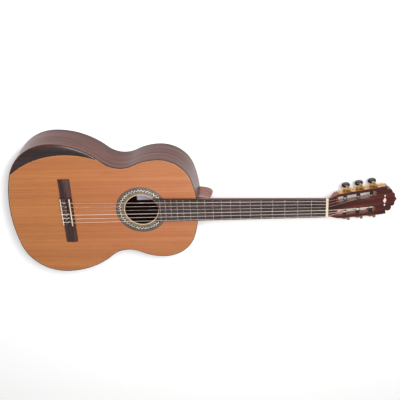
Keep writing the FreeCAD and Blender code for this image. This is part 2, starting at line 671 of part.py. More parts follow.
def slotTool(side):
    """String slot with round ends and a ramp towards the nut, in the head's frame."""
    r = d.slotWidth / 2
    middle = -(d.railWall + r)
    low, deep = headBack - 1, d.headThickness + 2
    tool = box(d.slotStart + r, d.slotEnd - r, middle - r, middle + r, low, low + deep)
    for x in (d.slotStart + r, d.slotEnd - r):
        tool = tool.fuse(Part.makeCylinder(r, deep, Vector(x, middle, low)))
    rampFoot, rampHead = d.slotStart - d.rampLength, d.slotStart + r
    ramp = [Vector(rampFoot, middle - r, 1), Vector(rampHead, middle - r, 1),
            Vector(rampHead, middle - r, -d.rampDepth), Vector(rampFoot, middle - r, 0)]
    ramp = Part.Face(Part.makePolygon(ramp + ramp[:1])).extrude(Vector(0, d.slotWidth, 0))
    tool = tool.fuse(ramp)
    if side < 0:
        tool = tool.mirror(Vector(), Vector(0, 1, 0))
    tool.Placement = sideFrame(side).multiply(tool.Placement)
    return tool


tunerPlaces = [d.tunerFirst + i * d.tunerPitch for i in range(3)]
slotInner = -(d.railWall + d.slotWidth)
screwPlaces = [(d.plateStart + tunerPlaces[0] - d.gearPitchRadius) / 2]
screwPlaces += [x + d.tunerPitch / 2 + d.gearPitchRadius / 2 for x in tunerPlaces[:2]]
screwPlaces += [d.plateEnd - (screwPlaces[0] - d.plateStart)]


def sideBores(side):
    """Bores for the rollers and the plate screws in one rail, in the head's frame."""
    tools = []
    out = Vector(0, side, 0)
    for x in tunerPlaces:
        tools.append(rod(Vector(x, side * (slotInner / 2), -d.rollerDepth), out,
                         d.rollerRadius + d.rollerClearance, -slotInner / 2 + 1))
        depth = d.spigotLength + d.endPlay
        tools.append(rod(Vector(x, side * (slotInner - depth), -d.rollerDepth), out,
                         d.spigotRadius + d.runningFit, depth + 1))
    for x in screwPlaces:
        tools.append(rod(Vector(x, -side * (d.screwLength - d.plateThickness), -d.rollerDepth), out,
                         d.screwRadius, d.screwLength))
    for tool in tools:
        tool.Placement = sideFrame(side).multiply(tool.Placement)
    return tools


headWood = headPlate(headBack, veneerZ).common(
    box(shoulderStart, d.headTip + 1, -wide, wide, headBack - 1, 1))

# under the shoulders the head's square block swells out of the neck's oval
swellHalf, swellDepth = d.nutHalf * nutFlare, d.headThickness + 1
swellEnd = shoulderStart + d.railStart
swell = Part.makeLoft([
    halfOval(Vector(shoulderStart, 0, 0), acrossY, downZ, swellHalf, swellDepth),
    halfOval(Vector(swellEnd, 0, 0), acrossY, downZ, swellHalf + d.railStart, swellDepth + d.railStart)],
    True, True)
headWood = headWood.cut(box(shoulderStart, swellEnd, -wide, wide, headBack - 1, 1).cut(swell))
headTools = [slotTool(1), slotTool(-1)] + sideBores(1) + sideBores(-1)
headWood = headWood.cut(headTools)
headWood.Placement = headFrame
faceCut = box(-wide, d.headTip, -wide, wide, veneerZ, d.headThickness * 3)
faceCut.Placement = headFrame
nutSeat = box(d.scaleLength - 1, headX + 1, -wide, wide, topZ, topZ + d.headThickness)
throatCut = fused([tool.copy() for tool in (slotTool(1), slotTool(-1))])
throatCut.Placement = headFrame.multiply(throatCut.Placement)
shaftTop = box(d.scaleLength + d.nutThickness, throatX + 1, -wide, wide, 0, topZ * 2)
shaft = shaft.cut(faceCut.common(shaftTop)).cut(throatCut)
neck = fused([shaft.cut(bodyBlock), heel.cut(bodyBlock), core.fuse(foot.cut(centreStrip)), headWood])
neck = neck.cut(nutSeat)
keepShape(neck, "neck")

heelBack = halfOval(Vector(heelRoot, 0, 0), acrossY, alongX, d.heelHalf, d.heelLength)
keepShape(Part.Face(heelBack).extrude(Vector(0, 0, heelFoot)).cut(bodyBlock), "heel_cap")

veneer = headPlate(veneerZ, 0).cut([slotTool(1), slotTool(-1)])
veneer.Placement = headFrame
nutRear = d.scaleLength + d.nutThickness
veneer = veneer.cut(box(d.scaleLength - d.railStart, nutRear, -wide, wide, 0, topZ * 2))
keepShape(veneer, "headplate")

# ---------------------------------------------------------------- string routes
tieZ = topZ + d.tieHoleHeight
saddleZ = topZ + d.stringHeightSaddle
nutZ = boardTop + d.fretHeight + d.stringHeightNut
tieFront = -(d.bridgeBehind - d.tieBlockLength)
halfSaddle = d.saddleThickness / 2
crownZ = saddleZ - halfSaddle - d.stringRest


def stringSide(number):
    return -1 if number <= 3 else 1


def rollerPlace(number):
    """Strings one and six go to the rollers next to the nut, three and four to the last."""
    return tunerPlaces[number - 1] if number <= 3 else tunerPlaces[6 - number]


def windingPlace(number):
    """Where a string meets its roller, across the slot: outer strings further out."""
    order = number - 1 if number <= 3 else 6 - number
    return slotInner + d.slotWidth * (0.62 - 0.16 * order)


def saddleWrap(number):
    """Bend of a string's middle line round the saddle's crown."""
    return halfSaddle + d.stringRest + stringRadii[number - 1]


def stringRoute(number):
    """Corner points: tie block, saddle, nut and the tangent point on the roller."""
    radius = stringRadii[number - 1]
    share = (number - 3.5) / 5
    side = stringSide(number)
    bridgeY, nutY = share * d.bridgeSpread, share * d.nutSpread
    nutPoint = Vector(d.scaleLength + 1, nutY, nutZ + radius + d.stringRest)
    wrap = saddleWrap(number)
    behind = math.hypot(tieFront, crownZ - tieZ)
    slope = math.atan2(crownZ - tieZ, -tieFront) + math.asin(wrap / behind)
    cornerX = tieFront + (crownZ + wrap - tieZ) / math.tan(slope)
    frame = headFrame.multiply(sideFrame(side))
    local = frame.inverse().multVec(nutPoint)
    x, z = rollerPlace(number) - local.x, -d.rollerDepth - local.z
    reach = d.rollerRadius + d.stringGap + radius
    distance = math.hypot(x, z)
    turn = math.atan2(z, x) + math.asin(reach / distance)
    length = math.sqrt(distance**2 - reach**2)
    touch = Vector(local.x + length * math.cos(turn), side * windingPlace(number),
                   local.z + length * math.sin(turn))
    return [Vector(-d.bridgeBehind - 1, bridgeY, tieZ), Vector(tieFront, bridgeY, tieZ),
            Vector(cornerX, bridgeY, crownZ + wrap), nutPoint, frame.multVec(touch)]


def stringTube(number, grow=0):
    """Round string along its route, with a small bend where it leaves the hole, saddle and nut."""
    points = stringRoute(number)
    bends = (1.5, saddleWrap(number), 6)
    edges, last = [], points[0]
    for i, bend in zip(range(1, 4), bends):
        back = (points[i - 1] - points[i]).normalize()
        ahead = (points[i + 1] - points[i]).normalize()
        half = back.getAngle(ahead) / 2
        start = points[i] + back * (bend / math.tan(half))
        end = points[i] + ahead * (bend / math.tan(half))
        middle = points[i] + (back + ahead).normalize() * (bend / math.sin(half) - bend)
        edges += [Part.makeLine(last, start), Part.Arc(start, middle, end).toShape()]
        last = end
    edges.append(Part.makeLine(last, points[-1]))
    section = Part.makeCircle(stringRadii[number - 1] + grow, points[0], points[1] - points[0])
    return Part.Wire(edges).makePipeShell([Part.Wire([section])], True, True)


# ---------------------------------------------------------------- bridge, saddle and nut
def bridgeProfile(points, half):
    """A profile in the X-Z plane above the soundboard, carried across to both sides."""
    corners = [Vector(x, -half, topZ + z) for x, z in points]
    return Part.Face(Part.makePolygon(corners + corners[:1])).extrude(Vector(0, 2 * half, 0))


front, rear = d.bridgeAhead, -d.bridgeBehind
wingEdge = d.wingHeight * 0.45  # the wings' arched top comes down to this at their edges
wingPoints = [Vector(rear, -d.bridgeHalf, topZ + wingEdge), Vector((front + rear) / 2, -d.bridgeHalf,
              topZ + d.wingHeight), Vector(front, -d.bridgeHalf, topZ + wingEdge)]
wingRim = [Part.Arc(*wingPoints).toShape(),
           Part.makePolygon([wingPoints[2], Vector(front, -d.bridgeHalf, topZ),
                             Vector(rear, -d.bridgeHalf, topZ), wingPoints[0]])]
wings = Part.Face(Part.Wire([wingRim[0]] + wingRim[1].Edges)).extrude(Vector(0, 2 * d.bridgeHalf, 0))
saddleBack = -d.saddleThickness * 1.6
middlePart = bridgeProfile([
    (rear, 0), (rear, d.tieBlockHeight), (tieFront, d.tieBlockHeight), (tieFront, d.channelHeight),
    (saddleBack, d.channelHeight), (saddleBack, d.saddleRibHeight), (d.saddleThickness, d.saddleRibHeight),
    (front, d.wingHeight / 2), (front, 0)], d.bridgeMiddleHalf)
saddleFloor = topZ + d.saddleRibHeight - d.saddleSlotDepth
saddleSlot = box(-halfSaddle, halfSaddle, -d.saddleHalf, d.saddleHalf, saddleFloor, topZ * 2)
tieHoles = [rod(Vector(rear - 1, stringRoute(n)[0].y, tieZ), alongX, d.tieHoleRadius, d.tieBlockLength + 2)
            for n in range(1, 7)]
inlayZ = topZ + d.tieBlockHeight
inlay = box(rear, rear + d.inlayWidth, -d.saddleHalf, d.saddleHalf, inlayZ - d.inlayThickness, inlayZ)
keepShape(wings.fuse(middlePart).removeSplitter().cut([saddleSlot, inlay] + tieHoles), "bridge")
keepShape(inlay, "tie_block_inlay")

body = newBody("saddle")
crown = "bodyDepth + stringHeightSaddle - saddleThickness / 2 - stringRest"
blank = polygonSketch(body, "XZ_Plane", "SaddleSection", [
    ("-saddleThickness / 2", "bodyDepth + saddleRibHeight - saddleSlotDepth"),
    ("saddleThickness / 2", "bodyDepth + saddleRibHeight - saddleSlotDepth"),
    ("saddleThickness / 2", crown), ("-saddleThickness / 2", crown)])
addFeature(body, "Pad", blank, "SaddleBlank", "2 * saddleHalf", both=True)
roundTop = body.newObject("Sketcher::SketchObject", "SaddleCrown")
roundTop.AttachmentSupport = [(originPlane(body, "XZ_Plane"), "")]
roundTop.MapMode = "FlatFace"
roundTop.addGeometry(Part.ArcOfCircle(Part.Circle(Vector(0, crownZ, 0), up, halfSaddle), 0, math.pi), False)
roundTop.addGeometry(Part.LineSegment(Vector(-halfSaddle, crownZ, 0), Vector(halfSaddle, crownZ, 0)), False)
addFeature(body, "Pad", roundTop, "SaddleRound", "2 * saddleHalf", both=True)
keep(body, "saddle")

nutTop = nutZ + d.runningFit * 7
nutBlank = [Vector(d.scaleLength, -d.nutHalf, topZ), Vector(nutRear, -d.nutHalf, topZ),
            Vector(nutRear, -d.nutHalf, boardTop), Vector(nutRear - 2, -d.nutHalf, nutTop - 0.6),
            Vector(d.scaleLength, -d.nutHalf, nutTop)]
nutBlank = Part.Face(Part.makePolygon(nutBlank + nutBlank[:1])).extrude(Vector(0, 2 * d.nutHalf, 0))
stringSlots = [stringTube(number, grow=d.stringRest) for number in range(1, 7)]
keepShape(nutBlank.cut(stringSlots), "nut")

for number in range(1, 7):
    keepShape(stringTube(number), "string_%d" % number)

# ---------------------------------------------------------------- tuners
# Each tuner is made about its own roller axis: X along the rail, Y out of the head's side from
# the side's surface, Z out of the face.  The worm turns about Z and the gear about Y.
wormOffset = d.gearPitchRadius + d.wormPitchRadius
threadPitch = math.tau * d.gearPitchRadius / d.gearTeeth
lugGap = 2 * threadPitch + d.endPlay


# tooth flanks, as shares of half a tooth at the pitch line, and the gear's boss and screw head as
# shares of the axle's radius
rootShare, tipShare = 1.5, 0.55
hubShare, capShare = 1.6, 1.15


def slotIn(x, low, high):
    """Screwdriver slot across a head centred at x, from low to high along Y."""
    half = d.screwSlot / 2
    return box(x - half, x + half, *sorted((low, high)), -d.plateHeight, d.plateHeight)


def gearShape():
    """Toothed wheel with a hub and a slotted fixing screw, a tooth gap towards the worm."""
    hubStart = d.plateThickness + d.endPlay
    low = d.wormStand - d.gearWidth / 2
    root, tip = d.gearPitchRadius - d.toothRoot, d.gearPitchRadius + d.toothRise
    spread = d.toothWidth / 2 / d.gearPitchRadius
    flanks = ((root, -spread * rootShare), (tip, -spread * tipShare), (tip, spread * tipShare),
              (root, spread * rootShare))
    corners = []
    for tooth in range(int(d.gearTeeth)):
        middle = math.tau * (tooth + 0.5) / d.gearTeeth
        for radius, half in flanks:
            corners.append(Vector(radius * math.cos(middle + half), low, radius * math.sin(middle + half)))
    wheel = Part.Face(Part.makePolygon(corners + corners[:1])).extrude(Vector(0, d.gearWidth, 0))
    hub = rod(Vector(0, hubStart, 0), acrossY, d.axleRadius * hubShare, low - hubStart)
    outerFace = low + d.gearWidth
    head = rod(Vector(0, outerFace, 0), acrossY, d.axleRadius * capShare, d.gearScrewHead)
    head = head.cut(slotIn(0, outerFace + d.gearScrewHead / 2, outerFace + d.gearScrewHead + 1))
    bore = rod(Vector(0, hubStart - 1, 0), acrossY, d.axleRadius, outerFace - hubStart + 1)
    return fused([wheel.fuse(hub).cut(bore), head])


def wormShape():
    """Worm shaft with a single right-hand thread, end shoulders and the button's collar."""
    core, tip = d.wormPitchRadius - d.toothRoot, d.wormPitchRadius + d.toothRise
    half = d.toothWidth / 2
    turns = 3 * threadPitch
    path = Part.makeHelix(threadPitch, turns, d.wormPitchRadius)
    sunk = core - d.endPlay  # the thread starts inside the core, so that the two fuse
    profile = [Vector(sunk, 0, -half * 1.6), Vector(tip, 0, -half * tipShare),
               Vector(tip, 0, half * tipShare), Vector(sunk, 0, half * 1.6)]
    thread = Part.Wire(path).makePipeShell([Part.makePolygon(profile + profile[:1])], True, True)
    thread.translate(Vector(0, 0, -turns / 2))
    reach = lugGap - d.endPlay
    trim = rod(Vector(0, 0, -reach), up, tip + 1, 2 * reach)
    worm = rod(Vector(0, 0, -reach), up, core, 2 * reach).fuse(thread.common(trim))
    topEnd = lugGap + d.lugThickness + d.shaftProud
    bottom = -d.buttonDrop + d.rollerDepth
    shaft = rod(Vector(0, 0, bottom), up, d.shaftRadius, topEnd - bottom)
    collarTop = bottom + d.buttonLong + d.ferruleLength
    collar = rod(Vector(0, 0, collarTop - d.ferruleLength), up, d.ferruleRadius, d.ferruleLength)
    return fused([worm, shaft, collar])


seatShare = 0.9  # neck of a button against its collar


def buttonShape():
    """Flat oval button with rounded rims, bored for the shaft."""
    middle = Vector(0, -d.buttonThick / 2, -d.buttonDrop + d.rollerDepth)
    bore = Vector(0, 0, middle.z)
    ellipse = Part.Ellipse(middle + Vector(d.buttonWide, 0, 0), middle + Vector(0, 0, d.buttonLong), middle)
    disc = Part.Face(Part.Wire([ellipse.toShape()])).extrude(Vector(0, d.buttonThick, 0))
    rims = [edge for edge in disc.Edges if edge.Length > 4 * d.buttonWide]
    disc = disc.makeFillet(d.buttonRound, rims)
    flatZ = middle.z + d.buttonLong - d.buttonFlat
    flat = box(-d.buttonLong, d.buttonLong, -d.buttonLong, d.buttonLong, flatZ, flatZ + d.buttonLong)
    seat = rod(Vector(0, 0, flatZ), up, d.ferruleRadius * seatShare, d.buttonFlat)
    whole = disc.cut(flat).fuse(seat).removeSplitter()
    return whole.cut(rod(bore, up, d.shaftRadius, d.buttonLong * 2))


def addRoller(label, side, frame, hole):
    """String roller turned in one piece: inner spigot, barrel and the axle that carries the gear."""
    body = newBody(label)
    ends = {"inner": "-(railWall + slotWidth) - spigotLength", "step": "-(railWall + slotWidth) + endPlay",
            "face": "-endPlay", "outer": "wormStand + gearWidth / 2"}
    if side < 0:
        ends = {name: "-(%s)" % text for name, text in ends.items()}
    corners = [("0", ends["inner"]), ("spigotRadius", ends["inner"]), ("spigotRadius", ends["step"]),
               ("rollerRadius", ends["step"]), ("rollerRadius", ends["face"]), ("axleRadius", ends["face"]),
               ("axleRadius", ends["outer"]), ("0", ends["outer"])]
    profile = polygonSketch(body, "XY_Plane", label + "_profile", corners)
    addFeature(body, "Revolution", profile, label + "_turned")
    bore = circleSketch(body, "XY_Plane", label + "_hole_plan", "0", str(hole), ["stringHoleRadius"])
    addFeature(body, "Pocket", bore, label + "_hole", "2 * rollerRadius + 2", both=True)
    return keep(body, label, frame)


gear, worm, button = gearShape(), wormShape(), buttonShape()
for number in range(1, 7):
    side = stringSide(number)
    onHead = headFrame.multiply(sideFrame(side))
    place = rollerPlace(number)
    rollerFrame = onHead.multiply(Placement(Vector(place, 0, -d.rollerDepth), Rotation()))
    wormFrame = onHead.multiply(Placement(Vector(place + wormOffset, side * d.wormStand, -d.rollerDepth),
                                          Rotation()))
    hole = side * (windingPlace(number) - stringRadii[number - 1] * 6)
    addRoller("roller_%d" % number, side, rollerFrame, hole)
    keepShape(gear if side > 0 else gear.mirror(Vector(), acrossY), "gear_%d" % number, rollerFrame)
    keepShape(worm, "worm_%d" % number, wormFrame)
    keepShape(button, "button_%d" % number, wormFrame)

through = d.wormStand + d.lugHalf  # long enough to bore right through a plate
for side, label in ((1, "tuner_plate_bass"), (-1, "tuner_plate_treble")):
    low = -d.rollerDepth - d.plateHeight / 2
    plate = box(d.plateStart, d.plateEnd, 0, d.plateThickness, low, low + d.plateHeight)
    corners = [edge for edge in plate.Edges if abs(edge.tangentAt(0).y) > 0.5]
    plate = plate.makeFillet(d.plateRound, corners)
    holes = []
    for x in tunerPlaces:
        for end in (lugGap, -lugGap - d.lugThickness):
            plate = plate.fuse(box(x + wormOffset - d.lugHalf, x + wormOffset + d.lugHalf, 0,
                                   d.wormStand + d.lugHalf, -d.rollerDepth + end,
                                   -d.rollerDepth + end + d.lugThickness))
        holes.append(rod(Vector(x, -1, -d.rollerDepth), acrossY, d.axleRadius + d.runningFit, through))
        holes.append(rod(Vector(x + wormOffset, d.wormStand, -d.rollerDepth - 3 * lugGap), up,
                         d.shaftRadius + d.runningFit, 6 * lugGap))
    holes += [rod(Vector(x, -1, -d.rollerDepth), acrossY, d.screwRadius, through) for x in screwPlaces]
    plate = plate.removeSplitter().cut(holes)
    if side < 0:
        plate = plate.mirror(Vector(), acrossY)
    keepShape(plate, label, headFrame.multiply(sideFrame(side)))

screws = []
for side in (1, -1):
    for x in screwPlaces:
        out = Vector(0, side, 0)
        point = Vector(x, -side * (d.screwLength - d.plateThickness), -d.rollerDepth)
        seat = Vector(x, side * d.plateThickness, -d.rollerDepth)
        cap = Part.makeCone(d.screwHeadRadius, d.screwHeadRadius * 0.6, d.screwHeadHeight, seat, out)
        screw = rod(point, out, d.screwRadius, d.screwLength).fuse(cap)
        slotFloor = d.plateThickness + d.screwHeadHeight / 2
        screw = screw.cut(slotIn(x, side * slotFloor, side * through))
        screw.Placement = headFrame.multiply(sideFrame(side)).multiply(screw.Placement)
        screws.append(screw)
keepShape(Part.makeCompound(screws), "plate_screws")

# ---------------------------------------------------------------- checks and files
doc.recompute()
for item in doc.Objects:
    if "Invalid" in item.State or "Error" in item.State:
        raise RuntimeError("%s failed: %s" % (item.Label, item.State))
for item in nodes:
    if item.Shape.isNull() or not item.Shape.isValid():
        raise RuntimeError("%s has no valid shape" % item.Label)
for item in nodes:
    item.Shape.exportStep("parts/%s.step" % item.Label)
print("%d nodes written" % len(nodes))
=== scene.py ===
# Classical guitar with a slotted head, a bevelled arm rest and a mosaic rosette.
# All in metres. The strings run along X towards the head, Y points to the bass side and the
# soundboard faces up.
import json
import math

import bmesh
import bpy
from mathutils import Matrix, Vector
from mathutils.geometry import interpolate_bezier


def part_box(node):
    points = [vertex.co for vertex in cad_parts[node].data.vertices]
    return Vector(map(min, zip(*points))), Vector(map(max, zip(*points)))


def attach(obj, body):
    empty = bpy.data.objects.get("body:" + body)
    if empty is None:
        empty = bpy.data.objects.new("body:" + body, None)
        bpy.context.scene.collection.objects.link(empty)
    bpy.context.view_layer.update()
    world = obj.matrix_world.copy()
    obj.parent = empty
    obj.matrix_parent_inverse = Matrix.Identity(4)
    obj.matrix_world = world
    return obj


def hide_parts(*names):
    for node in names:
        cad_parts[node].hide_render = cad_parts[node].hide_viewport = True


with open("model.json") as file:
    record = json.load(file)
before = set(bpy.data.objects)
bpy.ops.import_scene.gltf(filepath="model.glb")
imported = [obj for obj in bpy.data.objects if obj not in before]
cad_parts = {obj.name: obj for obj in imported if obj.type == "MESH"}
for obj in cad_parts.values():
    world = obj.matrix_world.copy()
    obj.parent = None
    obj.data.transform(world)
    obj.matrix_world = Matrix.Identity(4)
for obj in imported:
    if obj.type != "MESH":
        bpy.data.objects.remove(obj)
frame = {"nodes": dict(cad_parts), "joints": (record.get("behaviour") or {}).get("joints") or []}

mm = 0.001
nodes = frame["nodes"]
joints = {joint["name"]: joint for joint in frame["joints"]}
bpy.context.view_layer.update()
print("frame loaded:", len(nodes), "CAD nodes")

# places that several pieces share, all read from the frame
saddleLow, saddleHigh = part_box("saddle")
saddleX = (saddleLow.x + saddleHigh.x) / 2
nutLow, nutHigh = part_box("nut")
scaleLength = nutLow.x - saddleX
rosetteLow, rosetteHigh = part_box("rosette")
rosetteCentre = (rosetteLow + rosetteHigh) / 2
holeRadius = min((Vector(v.co).xy - rosetteCentre.xy).length for v in nodes["rosette"].data.vertices)
headUp = Vector(joints["button_turn_1"]["axis"])  # straight out of the head's face
headAlong = Vector((0, 1, 0)).cross(headUp)  # down the middle of the head to its crest
headFace = Vector((nutHigh.x, 0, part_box("headplate")[1].z))  # where the face meets the nut


# small helpers
def linear(hexColour):
    # sRGB hex to the linear colour that the shaders work in
    parts = [int(hexColour[i:i + 2], 16) / 255 for i in (1, 3, 5)]
    return tuple(c / 12.92 if c <= 0.04045 else ((c + 0.055) / 1.055) ** 2.4 for c in parts) + (1,)


def addNode(tree, kind, inputs=None, stops=(), **settings):
    # one node with its settings; an input is a plain value, or another node's output to link
    node = tree.nodes.new("ShaderNode" + kind)
    for name, value in settings.items():
        setattr(node, name, value)
    for i, (place, colour) in enumerate(stops):
        stop = node.color_ramp.elements[i] if i < 2 else node.color_ramp.elements.new(place)
        stop.position = place
        stop.color = linear(colour)
    for socket, value in (inputs or {}).items():
        if isinstance(value, bpy.types.NodeSocket):
            tree.links.new(value, node.inputs[socket])
        else:
            node.inputs[socket].default_value = value
    return node


def startMaterial(name, surface):
    # a Principled surface whose constants sit on its own sockets
    material = bpy.data.materials.new(name)
    material.use_nodes = True
    shader = material.node_tree.nodes["Principled BSDF"]
    for socket, value in surface.items():
        shader.inputs[socket].default_value = linear(value) if isinstance(value, str) else value
    return material, material.node_tree, shader


def joinUp(tree, shader, colour=None, roughness=None, height=None, depth=0.05 * mm):
    # links the finished colour, roughness and relief to the surface
    if colour:
        tree.links.new(colour, shader.inputs["Base Color"])
    if roughness:
        tree.links.new(roughness, shader.inputs["Roughness"])
    if height:
        bump = addNode(tree, "Bump", {"Height": height, "Distance": depth, "Strength": 1})
        tree.links.new(bump.outputs["Normal"], shader.inputs["Normal"])


# woods
def woodMaterial(name, look, surface):
    # long soft bands, finer grain lines inside them and pores, all stretched along the grain;
    # sizes are in mm, and "across" marks the axes that the growth rings cut
    material, tree, shader = startMaterial(name, surface)
    place = addNode(tree, "TexCoord").outputs["Object"]
    if look.get("bookMatched"):  # both halves mirror each other about the centre joint
        parts = addNode(tree, "SeparateXYZ", {"Vector": place})
        half = addNode(tree, "Math", {0: parts.outputs["Y"]}, operation="ABSOLUTE")
        place = addNode(tree, "CombineXYZ", {"X": parts.outputs["X"], "Y": half.outputs[0],
                                             "Z": parts.outputs["Z"]}).outputs[0]

    def streaks(width, length, detail, wave):
        stretch = [1 / ((width if cut else length) * mm) for cut in look["across"]]
        spread = addNode(tree, "Mapping", {"Vector": place, "Scale": stretch,
                                           "Location": look["shift"]})
        return addNode(tree, "TexNoise", {"Vector": spread.outputs[0], "Scale": 1, "Detail": detail,
                                          "Roughness": 0.55, "Distortion": wave}).outputs["Fac"]

    bands = streaks(look["bandWidth"], look["bandLength"], 2, look["wave"])
    lines = streaks(look["lineWidth"], look["lineLength"], 2, look["wave"] / 3)  # straighter
    pores = streaks(look["poreWidth"], look["poreLength"], 1, 0)
    colour = addNode(tree, "ValToRGB", {"Fac": bands}, stops=look["colours"]).outputs[0]
    tones = [(lines, look["lineTone"]), (pores, look["poreTone"])]
    if "tint" in look:  # slow drift of hue over the whole plate
        drift = addNode(tree, "TexNoise", {"Vector": place, "Detail": 1,
                                           "Scale": look["tint"]["scale"]})
        tones.append((drift.outputs["Fac"], look["tint"]["stops"]))
    for source, stops in tones:
        tone = addNode(tree, "ValToRGB", {"Fac": source}, stops=stops)
        colour = addNode(tree, "Mix", {0: 1.0, 6: colour, 7: tone.outputs[0]}, data_type="RGBA",
                         blend_type="MULTIPLY").outputs[2]
    if "inside" in look:  # painted shade above this height, which is the inner face: its raw wood is darkened to stand for the shade within the closed body
        height = addNode(tree, "SeparateXYZ", {"Vector": place}).outputs["Z"]
        within = addNode(tree, "Math", {0: height, 1: look["inside"]["above"] * mm},
                         operation="GREATER_THAN").outputs[0]
        shade = addNode(tree, "Mix", {0: 1.0, 6: colour, 7: linear(look["inside"]["tone"])},
                        data_type="RGBA", blend_type="MULTIPLY").outputs[2]
        colour = addNode(tree, "Mix", {0: within, 6: colour, 7: shade}, data_type="RGBA").outputs[2]
    low, high = look["roughness"]
    rough = addNode(tree, "MapRange", {"Value": lines, "From Min": 0.35, "From Max": 0.65,
                                       "To Min": high, "To Max": low})
    joinUp(tree, shader, colour, rough.outputs[0], pores, look["poreDepth"] * mm)
    return material


# Western red cedar, planed and French polished: warm orange-brown with close straight rings, which
# are about 1 mm apart and are drawn near 2.1 mm so that they show, under a thin soft gloss.
cedarLook = {
    "across": (0, 1, 1), "shift": (3, 0, 0), "bookMatched": True, "wave": 0.15,
    "bandWidth": 26, "bandLength": 1400, "lineWidth": 2.1, "lineLength": 700,
    "poreWidth": 0.9, "poreLength": 26, "poreDepth": 0.02, "roughness": (0.34, 0.46),
    "colours": ((0.3, "#A4683C"), (0.47, "#AA6D3F"), (0.6, "#AF7243"), (0.75, "#B37848")),
    "lineTone": ((0.34, "#E9DDD2"), (0.6, "#FFFFFF")),
    "poreTone": ((0.3, "#F0E7DE"), (0.5, "#FFFFFF")),
    "tint": {"scale": 5, "stops": ((0.35, "#FBE9DC"), (0.65, "#FFFDEE"))},
}
cedarPolished = woodMaterial("cedarFrenchPolished", cedarLook, {
    "IOR": 1.5, "Coat Weight": 0.25, "Coat Roughness": 0.3, "Coat IOR": 1.5})

# Indian rosewood, bent and polished: red-brown with long dark streaks and open pores under gloss.
rosewoodLook = {
    "across": (0, 0, 1), "shift": (0, 0, 2), "wave": 0.5,
    "bandWidth": 17, "bandLength": 420, "lineWidth": 3.1, "lineLength": 260,
    "poreWidth": 1.0, "poreLength": 14, "poreDepth": 0.05, "roughness": (0.3, 0.42),
    "colours": ((0.3, "#431912"), (0.46, "#58291E"), (0.57, "#6A3426"), (0.72, "#7C412F")),
    "lineTone": ((0.36, "#B8A29C"), (0.5, "#EEE4E0"), (0.62, "#FFFFFF")),
    "poreTone": ((0.3, "#B9A6A2"), (0.46, "#FFFFFF")),
}
rosewoodSurface = {"IOR": 1.5, "Specular IOR Level": 0.3, "Coat Weight": 0.12, "Coat Roughness": 0.12}
rosewoodRibs = woodMaterial("rosewoodRibsPolished", rosewoodLook, rosewoodSurface)
# The back's inner face, above 2.2 mm, carries painted shade: its colour is darkened to stand for the
# shade within the body.
rosewoodBack = woodMaterial("rosewoodBackPolished", {
    **rosewoodLook, "across": (0, 1, 1), "shift": (5, 3, 0), "bookMatched": True, "bandWidth": 24,
    "inside": {"above": 2.2, "tone": "#5A4C48"}}, rosewoodSurface)

# The same rosewood cut narrow from heartwood: nearly black in the bindings, dark brown and only
# waxed on the bridge.
rosewoodBinding = woodMaterial("rosewoodBindingPolished", {
    **rosewoodLook, "bandWidth": 6,
    "colours": ((0.3, "#180D0D"), (0.48, "#2A1817"), (0.62, "#38221F"), (0.75, "#46302C"))},
    rosewoodSurface)
rosewoodBridge = woodMaterial("rosewoodBridgeWaxed", {
    **rosewoodLook, "across": (1, 0, 1), "bandWidth": 7, "bandLength": 160,
    "colours": ((0.3, "#231110"), (0.48, "#3A201D"), (0.62, "#4A2C27"), (0.75, "#58382F")),
    "roughness": (0.34, 0.46)}, {"IOR": 1.5, "Coat Weight": 0.25, "Coat Roughness": 0.25})

# Ebony-dark block under the forearm, sprayed and buffed: nearly black with brown streaks, high gloss.
ebonyLook = {
    **rosewoodLook, "across": (0, 1, 1), "shift": (1, 4, 0), "bandWidth": 11, "wave": 0.3,
    "colours": ((0.3, "#190C0B"), (0.5, "#261412"), (0.68, "#361E1B")), "roughness": (0.22, 0.3)}
ebonyLacquered = woodMaterial("ebonyBevelLacquered", ebonyLook, {
    "IOR": 1.5, "Coat Weight": 0.9, "Coat Roughness": 0.07, "Coat IOR": 1.5})

# Fingerboard ebony, scraped and oiled: brown-grey, low sheen, with fine pores along the neck.
ebonyOiled = woodMaterial("ebonyFingerboardOiled", {
    **ebonyLook, "bandWidth": 8, "bandLength": 180, "lineWidth": 1.6, "lineLength": 90,
    "colours": ((0.32, "#281B1D"), (0.5, "#372729"), (0.66, "#483638")),
    "poreTone": ((0.36, "#8F8486"), (0.5, "#FFFFFF")), "roughness": (0.4, 0.52)}, {"IOR": 1.5})

# Honduran mahogany, sanded and satin lacquered: red-brown with short dark pores.
mahoganySatin = woodMaterial("mahoganySatin", {
    "across": (0, 1, 1), "shift": (2, 0, 1), "wave": 0.35,
    "bandWidth": 12, "bandLength": 240, "lineWidth": 2.2, "lineLength": 110,
    "poreWidth": 0.9, "poreLength": 9, "poreDepth": 0.05, "roughness": (0.36, 0.48),
    "colours": ((0.32, "#6E3526"), (0.5, "#853F2C"), (0.68, "#9A5038")),
    "lineTone": ((0.36, "#CDB8AE"), (0.56, "#FFFFFF")),
    "poreTone": ((0.34, "#9C7C70"), (0.46, "#FFFFFF")),
}, {"IOR": 1.5, "Coat Weight": 0.3, "Coat Roughness": 0.2, "Coat IOR": 1.5})

# Rosewood face of the head, polished: deep red-brown with dark streaks along the strings.
headVeneer = woodMaterial("rosewoodHeadPolished", {
    **rosewoodLook, "across": (0, 1, 0), "shift": (0, 6, 0), "bandWidth": 9, "bandLength": 190,
    "colours": ((0.3, "#280B06"), (0.48, "#43150E"), (0.6, "#581E13"), (0.74, "#6A2A1A")),
    "lineTone": ((0.36, "#A87E76"), (0.5, "#F0E0DC"), (0.62, "#FFFFFF"))},
    {"IOR": 1.5, "Coat Weight": 0.3, "Coat Roughness": 0.1})

